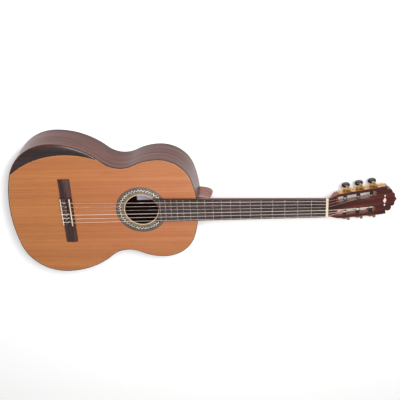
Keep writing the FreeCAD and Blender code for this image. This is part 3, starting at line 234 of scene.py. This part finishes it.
# Spruce bars and linings, planed and left raw: pale straw colour with no gloss.
spruceRaw = woodMaterial("spruceRaw", {
    **cedarLook, "across": (0, 1, 1), "bookMatched": False, "bandWidth": 14, "tint": {
        "scale": 8, "stops": ((0.35, "#F4EAD8"), (0.65, "#FFFFFF"))},
    "colours": ((0.35, "#C9A673"), (0.5, "#D6B786"), (0.65, "#E0C698")), "roughness": (0.6, 0.75)},
    {"IOR": 1.5})

# Maple stringing beside the binding and down the back: one light even line, lightly figured.
mapleLine = woodMaterial("mapleStringingPolished", {
    **cedarLook, "bookMatched": False, "bandWidth": 9, "bandLength": 60,
    "colours": ((0.35, "#B98555"), (0.5, "#C28E5E"), (0.65, "#CC996A")), "roughness": (0.35, 0.45)},
    {"IOR": 1.5, "Coat Weight": 0.35, "Coat Roughness": 0.2})
print("woods made")


# bone, metals and plastics
def mottledMaterial(name, surface, look):
    # a base tone with soft cloudy variation, and fine relief from the last polish or the mould
    material, tree, shader = startMaterial(name, surface)
    place = addNode(tree, "TexCoord").outputs["Object"]
    stretch = addNode(tree, "Mapping", {"Vector": place, "Scale": look.get("stretch", (1, 1, 1))})
    clouds = addNode(tree, "TexNoise", {"Vector": stretch.outputs[0], "Detail": 3,
                                        "Scale": 1 / (look["cloud"] * mm)})
    colour = addNode(tree, "ValToRGB", {"Fac": clouds.outputs["Fac"]}, stops=look["colours"])
    fine = addNode(tree, "TexNoise", {"Vector": stretch.outputs[0], "Detail": 2,
                                      "Scale": 1 / (look["grit"] * mm)})
    low, high = look["roughness"]
    rough = addNode(tree, "MapRange", {"Value": fine.outputs["Fac"], "From Min": 0.3, "From Max": 0.7,
                                       "To Min": low, "To Max": high})
    joinUp(tree, shader, colour.outputs[0], rough.outputs[0], fine.outputs["Fac"], look["relief"] * mm)
    return material


# Cattle bone, filed and polished: warm white with faint grey-brown veins.
bonePolished = mottledMaterial("bonePolished", {
    "IOR": 1.54, "Subsurface Weight": 0.15, "Subsurface Radius": (0.6 * mm, 0.5 * mm, 0.3 * mm)}, {
    "cloud": 5, "stretch": (1, 0.3, 1),
    "colours": ((0.35, "#C9B8A0"), (0.5, "#D8C8B3"), (0.7, "#E3D7C6")),
    "grit": 0.6, "roughness": (0.22, 0.34), "relief": 0.01})

# Nickel silver fret wire, rolled and polished: cool bright metal, dulled where strings touch it.
nickelSilver = mottledMaterial("nickelSilverPolished", {"Metallic": 1}, {
    "cloud": 6, "colours": ((0.35, "#A09A98"), (0.6, "#BDB7B3")),
    "grit": 0.5, "roughness": (0.16, 0.3), "relief": 0.004})

# Gold plate over engraved brass: warm yellow with paler rubbed spots.
goldPlated = mottledMaterial("goldPlatedBrass", {"Metallic": 1}, {
    "cloud": 4, "colours": ((0.35, "#AC8654"), (0.5, "#BF9A66"), (0.68, "#D4B488")),
    "grit": 0.8, "roughness": (0.24, 0.36), "relief": 0.015})

# Machined brass worm wheels: yellow metal with turning marks.
brassTurned = mottledMaterial("brassTurned", {"Metallic": 1}, {
    "cloud": 3, "colours": ((0.35, "#94723C"), (0.6, "#B69258")),
    "grit": 0.4, "roughness": (0.25, 0.4), "relief": 0.01})

# Gold-plated steel screws: the plates' yellow, a little deeper and brighter.
screwGold = mottledMaterial("goldPlatedSteelScrews", {"Metallic": 1}, {
    "cloud": 2, "colours": ((0.35, "#A98450"), (0.6, "#CDAA74")),
    "grit": 0.4, "roughness": (0.2, 0.35), "relief": 0.01})

# Ebony buttons, turned and waxed: near black with a soft broad highlight.
buttonEbony = mottledMaterial("ebonyButtonsWaxed", {
    "IOR": 1.5, "Specular IOR Level": 0.4}, {
    "cloud": 5, "stretch": (1, 1, 0.2), "colours": ((0.35, "#080707"), (0.6, "#12100F")),
    "grit": 0.7, "roughness": (0.14, 0.24), "relief": 0.005})

# String rollers, moulded ABS: black with a slight satin grain.
rollerPlastic = mottledMaterial("absMouldedBlack", {"IOR": 1.53}, {
    "cloud": 3, "colours": ((0.35, "#0F0F10"), (0.6, "#19191B")),
    "grit": 0.5, "roughness": (0.3, 0.42), "relief": 0.01})

# Treble strings, extruded clear nylon: glassy, slightly milky line.
nylonClear = mottledMaterial("nylonClearExtruded", {
    "IOR": 1.53, "Transmission Weight": 0.2}, {
    "cloud": 8, "colours": ((0.35, "#E2D2BE"), (0.6, "#F2E8DA")),
    "grit": 0.8, "roughness": (0.16, 0.26), "relief": 0.002})


# Bass strings, silver-plated copper wound on nylon: 0.15 mm wire, drawn 0.9 mm wide so that it
# shows. A wave texture repeats every 0.314 m at scale 1.
waveStep = 0.314


def windingMaterial(name, look):
    material, tree, shader = startMaterial(name, {"Metallic": 1})
    place = addNode(tree, "TexCoord").outputs["Object"]
    turns = addNode(tree, "TexWave", {"Vector": place, "Scale": waveStep / (look["wire"] * mm),
                                      "Distortion": 0}, wave_type="BANDS", bands_direction="X")
    colour = addNode(tree, "ValToRGB", {"Fac": turns.outputs["Fac"]}, stops=look["colours"])
    joinUp(tree, shader, colour.outputs[0], None, turns.outputs["Fac"], look["relief"] * mm)
    shader.inputs["Roughness"].default_value = look["roughness"]
    return material


silverWound = windingMaterial("silverPlatedWinding", {
    "wire": 0.9, "relief": 0.05, "roughness": 0.32,
    "colours": ((0.1, "#96857A"), (0.55, "#CDBDB0"), (0.9, "#E6DCD2"))})
print("bone, metals and plastics made")


# rosette
# Dyed veneers laid as a ring of end-grain mosaic: grey-green field, black and white zigzag, cream
# inner ring. Real tiles are well under a millimetre and are drawn 1.35 mm high so that they show.
rosetteLook = {
    "rings": (  # where each starts, in mm from the hole's edge out, and its colour
        (0.0, "#D2AE92"), (1.8, "#1F1613"), (2.5, "#75674E"), (8.2, "#1F1613"), (8.9, "#191411"),
        (16.2, "#1F1613"), (16.8, "#5A4C39"), (21.4, "#1A1311"), (22.4, "#5E4434")),
    "motifs": 44,  # zigzag points round the ring
    "zigzagLow": 9.9, "zigzagHigh": 15.2, "zigzagWidth": 1.15, "zigzagGaps": 0.24,
    "zigzagColour": "#E2DBCB",
    "tilesFrom": 2.5, "tilesTo": 21.4, "tilesPerMotif": 5, "tileHeight": 1.35,
    "tileDark": "#1F1B17", "tilesLeftLight": 0.62, "tileStrength": 0.75,
}


def rosetteMaterial(name, look):
    material, tree, shader = startMaterial(name, {
        "IOR": 1.5, "Roughness": 0.36, "Coat Weight": 0.4, "Coat Roughness": 0.15})
    place = addNode(tree, "TexCoord").outputs["Object"]
    fromCentre = addNode(tree, "VectorMath", {0: place, 1: tuple(rosetteCentre)}, operation="SUBTRACT")
    parts = addNode(tree, "SeparateXYZ", {"Vector": fromCentre.outputs[0]})
    cells = addNode(tree, "CombineXYZ")  # one whole number round the ring and one across it
    shade = addNode(tree, "TexWhiteNoise", {"Vector": cells.outputs[0]}, noise_dimensions="3D")
    known = {"x": parts.outputs["X"], "y": parts.outputs["Y"], "shade": shade.outputs["Value"]}
    sums = [  # name, operation, then what goes in: a number or an earlier name
        ("xx", "MULTIPLY", "x", "x"), ("yy", "MULTIPLY", "y", "y"), ("rr", "ADD", "xx", "yy"),
        ("radius", "SQRT", "rr"), ("pastHole", "SUBTRACT", "radius", holeRadius),
        ("out", "DIVIDE", "pastHole", mm),  # millimetres outside the hole
        ("angle", "ARCTAN2", "y", "x"), ("turn", "MULTIPLY", "angle", look["motifs"] / math.tau),
        # square tiles in the mosaic bands, dark at random
        ("tileTurn", "MULTIPLY", "turn", look["tilesPerMotif"]), ("column", "FLOOR", "tileTurn"),
        ("tileOut", "DIVIDE", "out", look["tileHeight"]), ("row", "FLOOR", "tileOut"),
        ("pastFirst", "GREATER_THAN", "out", look["tilesFrom"]),
        ("beforeLast", "LESS_THAN", "out", look["tilesTo"]),
        ("banded", "MULTIPLY", "pastFirst", "beforeLast"),
        ("chosen", "GREATER_THAN", "shade", look["tilesLeftLight"]),
        ("dark", "MULTIPLY", "banded", "chosen"), ("tiles", "MULTIPLY", "dark", look["tileStrength"]),
        # zigzag: the height of a triangle wave across its band, a set distance to each side
        ("wave", "PINGPONG", "turn", 0.5),
        ("climb", "MULTIPLY", "wave", 2 * (look["zigzagHigh"] - look["zigzagLow"])),
        ("line", "ADD", "climb", look["zigzagLow"]), ("beside", "SUBTRACT", "out", "line"),
        ("distance", "ABSOLUTE", "beside"), ("near", "LESS_THAN", "distance", look["zigzagWidth"]),
        ("kept", "GREATER_THAN", "shade", look["zigzagGaps"]), ("zigzag", "MULTIPLY", "near", "kept"),
    ]
    layers = []
    for i, (edge, ringColour) in enumerate(look["rings"][1:]):
        sums.append(("ring%d" % i, "GREATER_THAN", "out", edge))
        layers.append(("ring%d" % i, ringColour))
    layers += [("tiles", look["tileDark"]), ("zigzag", look["zigzagColour"])]
    for title, operation, *sources in sums:
        inputs = {i: known.get(source, source) for i, source in enumerate(sources)}
        known[title] = addNode(tree, "Math", inputs, operation=operation).outputs[0]
    tree.links.new(known["column"], cells.inputs["X"])
    tree.links.new(known["row"], cells.inputs["Y"])
    colour = linear(look["rings"][0][1])
    for share, over in layers:
        colour = addNode(tree, "Mix", {0: known[share], 6: colour, 7: linear(over)},
                         data_type="RGBA").outputs[2]
    joinUp(tree, shader, colour)
    return material


rosetteMosaic = rosetteMaterial("dyedVeneerMosaic", rosetteLook)

# every CAD node takes its finish
finishes = {
    "soundboard": cedarPolished, "back_bass": rosewoodBack, "back_treble": rosewoodBack,
    "back_centre_strip": mapleLine, "side_bass": rosewoodRibs, "side_treble": rosewoodRibs,
    "tail_block": mahoganySatin, "tail_graft": ebonyLacquered, "neck": mahoganySatin,
    "heel_cap": ebonyLacquered, "fretboard": ebonyOiled, "frets": nickelSilver, "nut": bonePolished,
    "saddle": bonePolished, "bridge": rosewoodBridge, "tie_block_inlay": bonePolished,
    "arm_bevel": ebonyLacquered, "rosette": rosetteMosaic, "binding_top": rosewoodBinding,
    "binding_back": rosewoodBinding, "purfling_top": mapleLine, "lining_top": mahoganySatin,
    "lining_back": mahoganySatin, "back_braces": spruceRaw, "harmonic_bars": spruceRaw,
    "fan_braces": spruceRaw, "headplate": headVeneer, "tuner_plate_bass": goldPlated,
    "tuner_plate_treble": goldPlated, "plate_screws": screwGold,
}
for number in range(1, 7):
    finishes["string_%d" % number] = nylonClear if number <= 3 else silverWound
    finishes["worm_%d" % number] = goldPlated
    finishes["button_%d" % number] = buttonEbony
    finishes["gear_%d" % number] = brassTurned
    finishes["roller_%d" % number] = rollerPlastic
for name, item in nodes.items():
    item.data.materials.clear()
    item.data.materials.append(finishes[name])
print("finishes given to", len(finishes), "CAD nodes")


# building blocks for the new pieces
def makePiece(name, bm, material, body, replaced=(), sharp=35):
    # turns a bmesh into a piece that rides on a body, smooth except across sharp edges
    bmesh.ops.recalc_face_normals(bm, faces=bm.faces)
    data = bpy.data.meshes.new(name)
    bm.to_mesh(data)
    bm.free()
    data.materials.append(material)
    for polygon in data.polygons:
        polygon.use_smooth = True
    data.set_sharp_from_angle(angle=math.radians(sharp))
    piece = bpy.data.objects.new(name, data)
    bpy.context.scene.collection.objects.link(piece)
    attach(piece, body)
    if replaced:
        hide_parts(*replaced)
    return piece


tubeEnd = (0.8, 0.6)  # a domed end reaches this far past the last point and narrows to this, in radii


def addTube(bm, points, radius, sides=10):
    # round closed tube through the points, carried along without twisting, with domed ends
    rings = []
    reach, narrow = tubeEnd
    along = (points[1] - points[0]).normalized()
    side = along.orthogonal().normalized()
    for i, point in enumerate(points):
        ahead = points[min(i + 1, len(points) - 1)] - points[max(i - 1, 0)]
        side = (side - ahead.normalized() * side.dot(ahead.normalized())).normalized()
        other = ahead.normalized().cross(side)
        levels = [(0, 1)]
        if i == 0:
            levels.insert(0, (-reach, narrow))
        elif i == len(points) - 1:
            levels.append((reach, narrow))
        for shift, grow in levels:
            centre = point + ahead.normalized() * radius * shift
            ring = []
            for k in range(sides):
                turn = math.tau * k / sides
                ring.append(bm.verts.new(
                    centre + (side * math.cos(turn) + other * math.sin(turn)) * radius * grow))
            rings.append(ring)
    for a, b in zip(rings, rings[1:]):
        for k in range(sides):
            bm.faces.new((a[k], a[(k + 1) % sides], b[(k + 1) % sides], b[k]))
    bm.faces.new(rings[0][::-1])
    bm.faces.new(rings[-1])


def smoothRoute(points, steps=6):
    # a smooth line through every point, as Catmull-Rom spans
    route = []
    padded = [points[0] * 2 - points[1]] + list(points) + [points[-1] * 2 - points[-2]]
    for a, b, c, e in zip(padded, padded[1:], padded[2:], padded[3:]):
        route += interpolate_bezier(b, b + (c - a) / 6, c - (e - b) / 6, c, steps + 1)[:-1]
    return route + [points[-1]]


tipLook = {"across": 1.3, "along": 0.6}  # corners this near the furthest one are the tip's ring, mm


def stringEnd(number, towards):
    # middle and radius of the end of a string tube, at its tail or its head end
    corners = [v.co for v in nodes["string_%d" % number].data.vertices]
    tip = max(corners, key=lambda co: co.x * towards)
    ring = [co for co in corners if (co - tip).length < tipLook["across"] * mm
            and abs(co.x - tip.x) < tipLook["along"] * mm]
    middle = sum(ring, Vector()) / len(ring)
    return middle, max((co - middle).length for co in ring)


# frets: domed wire with filed ends, cut away where the soundhole takes the board
fretLook = {"count": 19, "crown": 2.2, "height": 1.1, "endBevel": 0.9, "endRise": 0.25, "inset": 0.3,
            "holeGap": 1.5, "arcSteps": 8}


def buildFrets(look):
    boardLow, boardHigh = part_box("fretboard")
    top = boardHigh.z
    corners = [v.co for v in nodes["fretboard"].data.vertices]
    nutHalf = max(co.y for co in corners if co.x > boardHigh.x - mm)
    tailHalf = max(co.y for co in corners if co.x < boardLow.x + mm)
    bm = bmesh.new()
    for number in range(1, look["count"] + 1):
        x = saddleX + scaleLength / 2 ** (number / 12)
        downBoard = (boardHigh.x - x) / (boardHigh.x - boardLow.x)
        reach = nutHalf + (tailHalf - nutHalf) * downBoard - look["inset"] * mm
        toHole = x - rosetteCentre.x
        cut = math.sqrt(max(0, (holeRadius + look["holeGap"] * mm) ** 2 - toHole ** 2))
        for low, high in ([(-reach, reach)] if cut == 0 else [(-reach, -cut), (cut, reach)]):
            bevel, rise = look["endBevel"] * mm, look["endRise"]
            stations = ((low, rise), (low + bevel, 1), (high - bevel, 1), (high, rise))
            rings = []
            for y, share in stations:
                ring = []
                for k in range(look["arcSteps"] + 1):
                    turn = math.pi * k / look["arcSteps"]
                    ring.append(bm.verts.new((x + math.cos(turn) * look["crown"] / 2 * mm, y,
                                              top + math.sin(turn) * look["height"] * mm * share)))
                rings.append(ring)
            for a, b in zip(rings, rings[1:]):
                for k in range(look["arcSteps"]):
                    bm.faces.new((a[k], a[k + 1], b[k + 1], b[k]))
                bm.faces.new((a[-1], a[0], b[0], b[-1]))
            bm.faces.new(rings[0])
            bm.faces.new(rings[-1][::-1])
    makePiece("fret_wires", bm, nickelSilver, "guitar", ["frets"])


buildFrets(fretLook)
print("frets filed")

# string ends: loops tied at the bridge and turns round the rollers
tieLook = {
    "sideways": 2.6,  # half the loop's width, in string radii
    "lift": 1.05,  # middle of a string above the block that it lies on, in radii
    "crossing": 2.1,  # middle of a string above the middle of the one it crosses, in radii
    "sides": 10,
    # share of the way over the block, mm past it, share of the loop's width, level, mm above the level
    "route": (
        (0, -1.5, 0, "hole", 0.5), (0, -1.5, 0, "top", -0.9), (0, 0.3, 0, "over", 0),
        (0.5, 0, 0, "over", 0), (1, -0.7, 0.2, "over", 0), (1, 1.36, 0.8, "top", -1.1),
        (1, 1.7, 0.7, "hole", 0.4), (1, 1.87, 0, "hole", -0.9), (1, 1.7, -0.7, "hole", 0.4),
        (1, 1.19, -0.9, "top", -1.1), (1, -0.8, -1, "over", 0), (0.68, 0, 0, "crossing", 0),
        (0.45, 0, 1, "over", 0), (0.22, 0, 0.8, "over", 0), (0, -0.4, 0.7, "over", -0.4),
        (0, -1.1, 0.7, "top", -2.4)),
}


def makeStringPiece(title, number, points, radius, body, sides):
    # a length of one string, in that string's own finish
    bm = bmesh.new()
    addTube(bm, points, radius, sides)
    makePiece("%s_%d" % (title, number), bm, finishes["string_%d" % number], body,
              sharp=60)


def buildTies(look):
    inlayLow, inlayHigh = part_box("tie_block_inlay")
    rear, top = inlayLow.x, inlayHigh.z
    bridge = [v.co for v in nodes["bridge"].data.vertices]
    front = max(co.x for co in bridge if co.z > top - 0.01 * mm)
    for number in range(1, 7):
        start, radius = stringEnd(number, -1)
        over = top + radius * look["lift"]
        levels = {"hole": start.z, "top": top, "over": over,
                  "crossing": over + look["crossing"] * radius}
        points = [start]
        for share, past, swing, level, above in look["route"]:
            points.append(Vector((rear + (front - rear) * share + past * mm,
                                  start.y + look["sideways"] * radius * swing,
                                  levels[level] + above * mm)))
        makeStringPiece("string_tie", number, smoothRoute(points), radius, "guitar", look["sides"])


windLook = {
    "turns": 3, "stepsPerTurn": 28, "sides": 10,
    "settle": 0.35,  # share of a turn in which the string comes down onto the barrel
    "pitch": 2.04, "bend": 1.5,  # from turn to turn, and the bend into the hole, in string radii
    "dive": 0.7,  # share of the way to the roller's middle
}


def buildWindings(look):
    for number in range(1, 7):
        joint = joints["roller_turn_%d" % number]
        centre, axis = Vector(joint["pos_m"]), Vector(joint["axis"])
        inward = -axis if centre.y > 0 else axis
        start, radius = stringEnd(number, 1)
        foot = centre + axis * (start - centre).dot(axis)
        arm = start - foot
        roller = [v.co for v in nodes["roller_%d" % number].data.vertices]
        barrel = max(((co - centre) - axis * (co - centre).dot(axis)).length for co in roller)
        forward = axis if axis.cross(arm).dot(Vector((1, 0, 0))) > 0 else -axis
        # the turns end where the string dives into the roller's hole, which points out of the face
        lastTurn = math.atan2(forward.dot(arm.cross(headUp)), arm.dot(headUp)) % math.tau
        whole = look["turns"] * math.tau + lastTurn
        steps = int(look["stepsPerTurn"] * whole / math.tau)
        points = []
        for i in range(steps + 1):
            turn = whole * i / steps
            settled = min(1, turn / (look["settle"] * math.tau))
            distance = arm.length + (barrel + radius - arm.length) * settled
            slide = inward * look["pitch"] * radius * turn / math.tau
            spoke = Matrix.Rotation(turn, 3, forward) @ arm.normalized()
            points.append(foot + slide + spoke * distance)
        dive = foot + inward * look["pitch"] * radius * whole / math.tau - points[-1]
        points += [points[-1] + dive.normalized() * radius * look["bend"],
                   points[-1] + dive * look["dive"]]
        makeStringPiece("string_turns", number, points, radius, "tuner_roller_%d" % number,
                        look["sides"])


buildTies(tieLook)
buildWindings(windLook)
print("strings tied and wound")

# worked edges: copies of the CAD pieces with their sharp edges eased by a file or sandpaper
edgeLook = {"weld": 0.001, "flatUnder": 0.5, "sharpOver": 40, "segments": 2}  # mm, then degrees
softLook = {  # piece: (radius of the eased edge in mm, slot)
    "bridge": (0.5, "bridge_rosewood"), "nut": (0.5, "bone"), "saddle": (0.4, "bone"),
    "tie_block_inlay": (0.2, "bone"), "fretboard": (0.4, "ebony_board"),
    "headplate": (0.3, "head_veneer"), "arm_bevel": (0.7, "bevel_ebony"),
    "tuner_plate_bass": (0.2, "gold_plate"), "tuner_plate_treble": (0.2, "gold_plate"),
    "heel_cap": (0.5, "ebony_edge"), "neck": (0.4, "mahogany"),
}


def softenPiece(name, radius):
    bm = bmesh.new()
    bm.from_mesh(nodes[name].data)
    bmesh.ops.remove_doubles(bm, verts=bm.verts, dist=edgeLook["weld"] * mm)
    if name != "fretboard":  # its top is one flat face cut by the soundhole, and stays in triangles
        bmesh.ops.dissolve_limit(bm, angle_limit=math.radians(edgeLook["flatUnder"]), verts=bm.verts,
                                 edges=bm.edges)
    turned = math.radians(edgeLook["sharpOver"])
    sharp = [edge for edge in bm.edges if edge.is_manifold and edge.calc_face_angle() > turned]
    bmesh.ops.bevel(bm, geom=sharp, offset=radius * mm, offset_type="OFFSET", profile=0.5,
                    segments=edgeLook["segments"], affect="EDGES", clamp_overlap=True,
                    miter_outer="ARC", harden_normals=False)
    bmesh.ops.triangulate(bm, faces=[face for face in bm.faces if len(face.verts) > 4])
    makePiece(name + "_eased", bm, finishes[name], "guitar", [name])


for name, (radius, slotName) in softLook.items():
    softenPiece(name, radius)
print("edges eased on", len(softLook), "pieces")

# inlay across the crest of the head: a lozenge between two small ones, flush but for a hair
inlayLook = {
    "along": 151, "proud": 0.15, "sunk": 0.6,
    # place across the head, half length, half width
    "lozenges": ((0, 9, 4.6), (13.5, 3, 2.4), (-13.5, 3, 2.4)),
}
inlayShell = mottledMaterial("pearlShellPolished", {
    "IOR": 1.55, "Coat Weight": 0.5, "Coat Roughness": 0.08}, {
    "cloud": 4, "colours": ((0.35, "#D9B9A6"), (0.5, "#E9CFC0"), (0.68, "#F2E2D8")),
    "grit": 0.6, "roughness": (0.15, 0.25), "relief": 0.004})


def buildInlay(look):
    bm = bmesh.new()
    across = Vector((0, 1, 0))
    for shift, half, width in look["lozenges"]:
        centre = headFace + headAlong * look["along"] * mm + across * shift * mm
        outline = [across * half, headAlong * width, across * -half, headAlong * -width]
        rings = [[bm.verts.new(centre + corner * mm + headUp * level * mm) for corner in outline]
                 for level in (-look["sunk"], look["proud"])]
        for k in range(4):
            bm.faces.new((rings[0][k], rings[0][(k + 1) % 4], rings[1][(k + 1) % 4], rings[1][k]))
        bm.faces.new(rings[0][::-1])
        bm.faces.new(rings[1])
    makePiece("head_inlay", bm, inlayShell, "guitar")


buildInlay(inlayLook)
print("head inlaid")

# scrolls chased on the tuner plates
scrollLook = {
    "middles": (-48, -14, 20, 58),  # the plate screws, from the middle roller
    "gap": 3.4, "curl": 2.8, "shrink": 0.7, "sweep": 8.2, "wire": 0.4, "steps": 30, "sides": 6,
    "plateStep": 0.4,  # the plate's outer face lies more than this above its inner one
}


def buildScrolls(look):
    for side, middle in (("bass", 5), ("treble", 2)):
        joint = joints["roller_turn_%d" % middle]
        centre, outward = Vector(joint["pos_m"]), Vector(joint["axis"])
        outward = outward if outward.y * centre.y > 0 else -outward
        along = headUp.cross(outward)
        along = along if along.x > 0 else -along
        reaches = [(v.co - centre).dot(outward) for v in nodes["tuner_plate_" + side].data.vertices]
        face = min(reach for reach in reaches if reach > min(reaches) + look["plateStep"] * mm)
        bm = bmesh.new()
        for start in look["middles"]:
            for flip in (-1, 1):  # a curl to each side of the screw, one turned half round
                points = []
                for i in range(look["steps"] + 1):
                    share = i / look["steps"]
                    turn = look["sweep"] * share
                    reach = look["curl"] * (1 - look["shrink"] * share)
                    x = look["gap"] + math.sin(turn) * reach
                    y = math.cos(turn) * reach
                    points.append(centre + along * (start + flip * x) * mm + headUp * flip * y * mm
                                  + outward * face)
                addTube(bm, points, look["wire"] * mm, look["sides"])
        makePiece("plate_scrolls_" + side, bm, goldPlated, "guitar", sharp=60)


buildScrolls(scrollLook)
print("plates chased")

# paper label glued to the back under the soundhole
labelLook = {"long": 50, "wide": 43, "thick": 0.2, "edge": 1.6, "line": 0.7,
             "fibresPerMetre": 900,  # drawn about 1.1 mm apart
             "paper": ((0.3, "#BDB8D0"), (0.7, "#D6D2E4")), "ink": "#5B5F86"}


# Laid paper, printed: pale grey-violet, matte and faintly fibrous, with a thin blue border.
def labelMaterial(name, look, centre):
    material, tree, shader = startMaterial(name, {"IOR": 1.45, "Roughness": 0.75})
    place = addNode(tree, "TexCoord").outputs["Object"]
    fromCentre = addNode(tree, "VectorMath", {0: place, 1: tuple(centre)}, operation="SUBTRACT")
    parts = addNode(tree, "SeparateXYZ", {"Vector": fromCentre.outputs[0]})
    known = {"x": parts.outputs["X"], "y": parts.outputs["Y"]}
    sums = (  # name, operation, then what goes in: a number or an earlier name
        ("xAway", "ABSOLUTE", "x"), ("fromEnd", "SUBTRACT", look["long"] / 2 * mm, "xAway"),
        ("yAway", "ABSOLUTE", "y"), ("fromSide", "SUBTRACT", look["wide"] / 2 * mm, "yAway"),
        ("nearer", "MINIMUM", "fromEnd", "fromSide"), ("inset", "DIVIDE", "nearer", mm),
        ("beside", "SUBTRACT", "inset", look["edge"] + look["line"]),
        ("distance", "ABSOLUTE", "beside"),
        ("printed", "LESS_THAN", "distance", look["line"] / 2),
    )
    for title, operation, *sources in sums:
        inputs = {i: known.get(source, source) for i, source in enumerate(sources)}
        known[title] = addNode(tree, "Math", inputs, operation=operation).outputs[0]
    fibres = addNode(tree, "TexNoise", {"Vector": place, "Scale": look["fibresPerMetre"], "Detail": 3})
    paper = addNode(tree, "ValToRGB", {"Fac": fibres.outputs["Fac"]}, stops=look["paper"]).outputs[0]
    colour = addNode(tree, "Mix", {0: known["printed"], 6: paper, 7: linear(look["ink"])},
                     data_type="RGBA").outputs[2]
    joinUp(tree, shader, colour, None, fibres.outputs["Fac"], 0.01 * mm)
    return material


def buildLabel(look):
    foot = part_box("back_centre_strip")[1].z
    centre = Vector((rosetteCentre.x, 0, foot))
    bm = bmesh.new()
    size = Vector((look["long"], look["wide"], look["thick"])) * mm
    middle = centre + Vector((0, 0, size.z / 2))
    bmesh.ops.create_cube(bm, size=1, matrix=Matrix.Translation(middle) @ Matrix.Diagonal((*size, 1)))
    makePiece("paper_label", bm, labelMaterial("laidPaperPrinted", look, centre), "guitar")


buildLabel(labelLook)
print("label glued")

# floor, light and camera
stageLook = {"floorSize": 30, "floorColour": "#FCFCFC"}
bm = bmesh.new()
bmesh.ops.create_grid(bm, x_segments=1, y_segments=1, size=stageLook["floorSize"] / 2)
floorData = bpy.data.meshes.new("studioFloor")
bm.to_mesh(floorData)
bm.free()
floor = bpy.data.objects.new("studioFloor", floorData)
bpy.context.scene.collection.objects.link(floor)
floorMaterial = startMaterial("paperFloorMatte", {
    "Base Color": stageLook["floorColour"], "Roughness": 0.9, "Specular IOR Level": 0.2})[0]
floorData.materials.append(floorMaterial)

lightLook = {
    "skyColour": "#FFFFFF", "skyStrength": 0.36,
    "lamps": (  # name, place, aim, size, watts, colour
        ("keySoftbox", (0.34, 0.86, 1.5), (0.0, 0.0, 0.0), 0.45, 22, "#FFFFFF"),
        ("fillSoftbox", (0.0, 1.5, 2.7), (0.0, 0.0, 0.0), 2.2, 52, "#FFFFFF"),
        ("sheenSoftbox", (-0.28, -0.87, 1.9), (0.0, 0.05, 0.1), 0.4, 3, "#FFF2EE"),
    ),
}
world = bpy.data.worlds.new("studioWorld")
world.use_nodes = True
background = world.node_tree.nodes["Background"]
background.inputs["Color"].default_value = linear(lightLook["skyColour"])
background.inputs["Strength"].default_value = lightLook["skyStrength"]
bpy.context.scene.world = world
for name, place, aim, size, watts, colour in lightLook["lamps"]:
    lampData = bpy.data.lights.new(name, "AREA")
    lampData.shape = "DISK"
    lampData.size = size
    lampData.energy = watts
    lampData.color = linear(colour)[:3]
    lamp = bpy.data.objects.new(name, lampData)
    lamp.location = place
    lamp.rotation_euler = (Vector(aim) - Vector(place)).to_track_quat("-Z", "Y").to_euler()
    bpy.context.scene.collection.objects.link(lamp)

cameraLook = {"place": (0.1369, 0.9618, 1.7481), "turn": (-28.407, 1.936, -2.043), "lens": 67.58,
              "shift": (-0.0522, -0.0384)}
cameraData = bpy.data.cameras.new("camera")
cameraData.lens = cameraLook["lens"]
cameraData.shift_x, cameraData.shift_y = cameraLook["shift"]
camera = bpy.data.objects.new("camera", cameraData)
camera.location = cameraLook["place"]
camera.rotation_euler = [math.radians(angle) for angle in cameraLook["turn"]]
bpy.context.scene.collection.objects.link(camera)
bpy.context.scene.camera = camera
bpy.context.scene.view_settings.view_transform = "Standard"
print("stage, lamps and camera set")
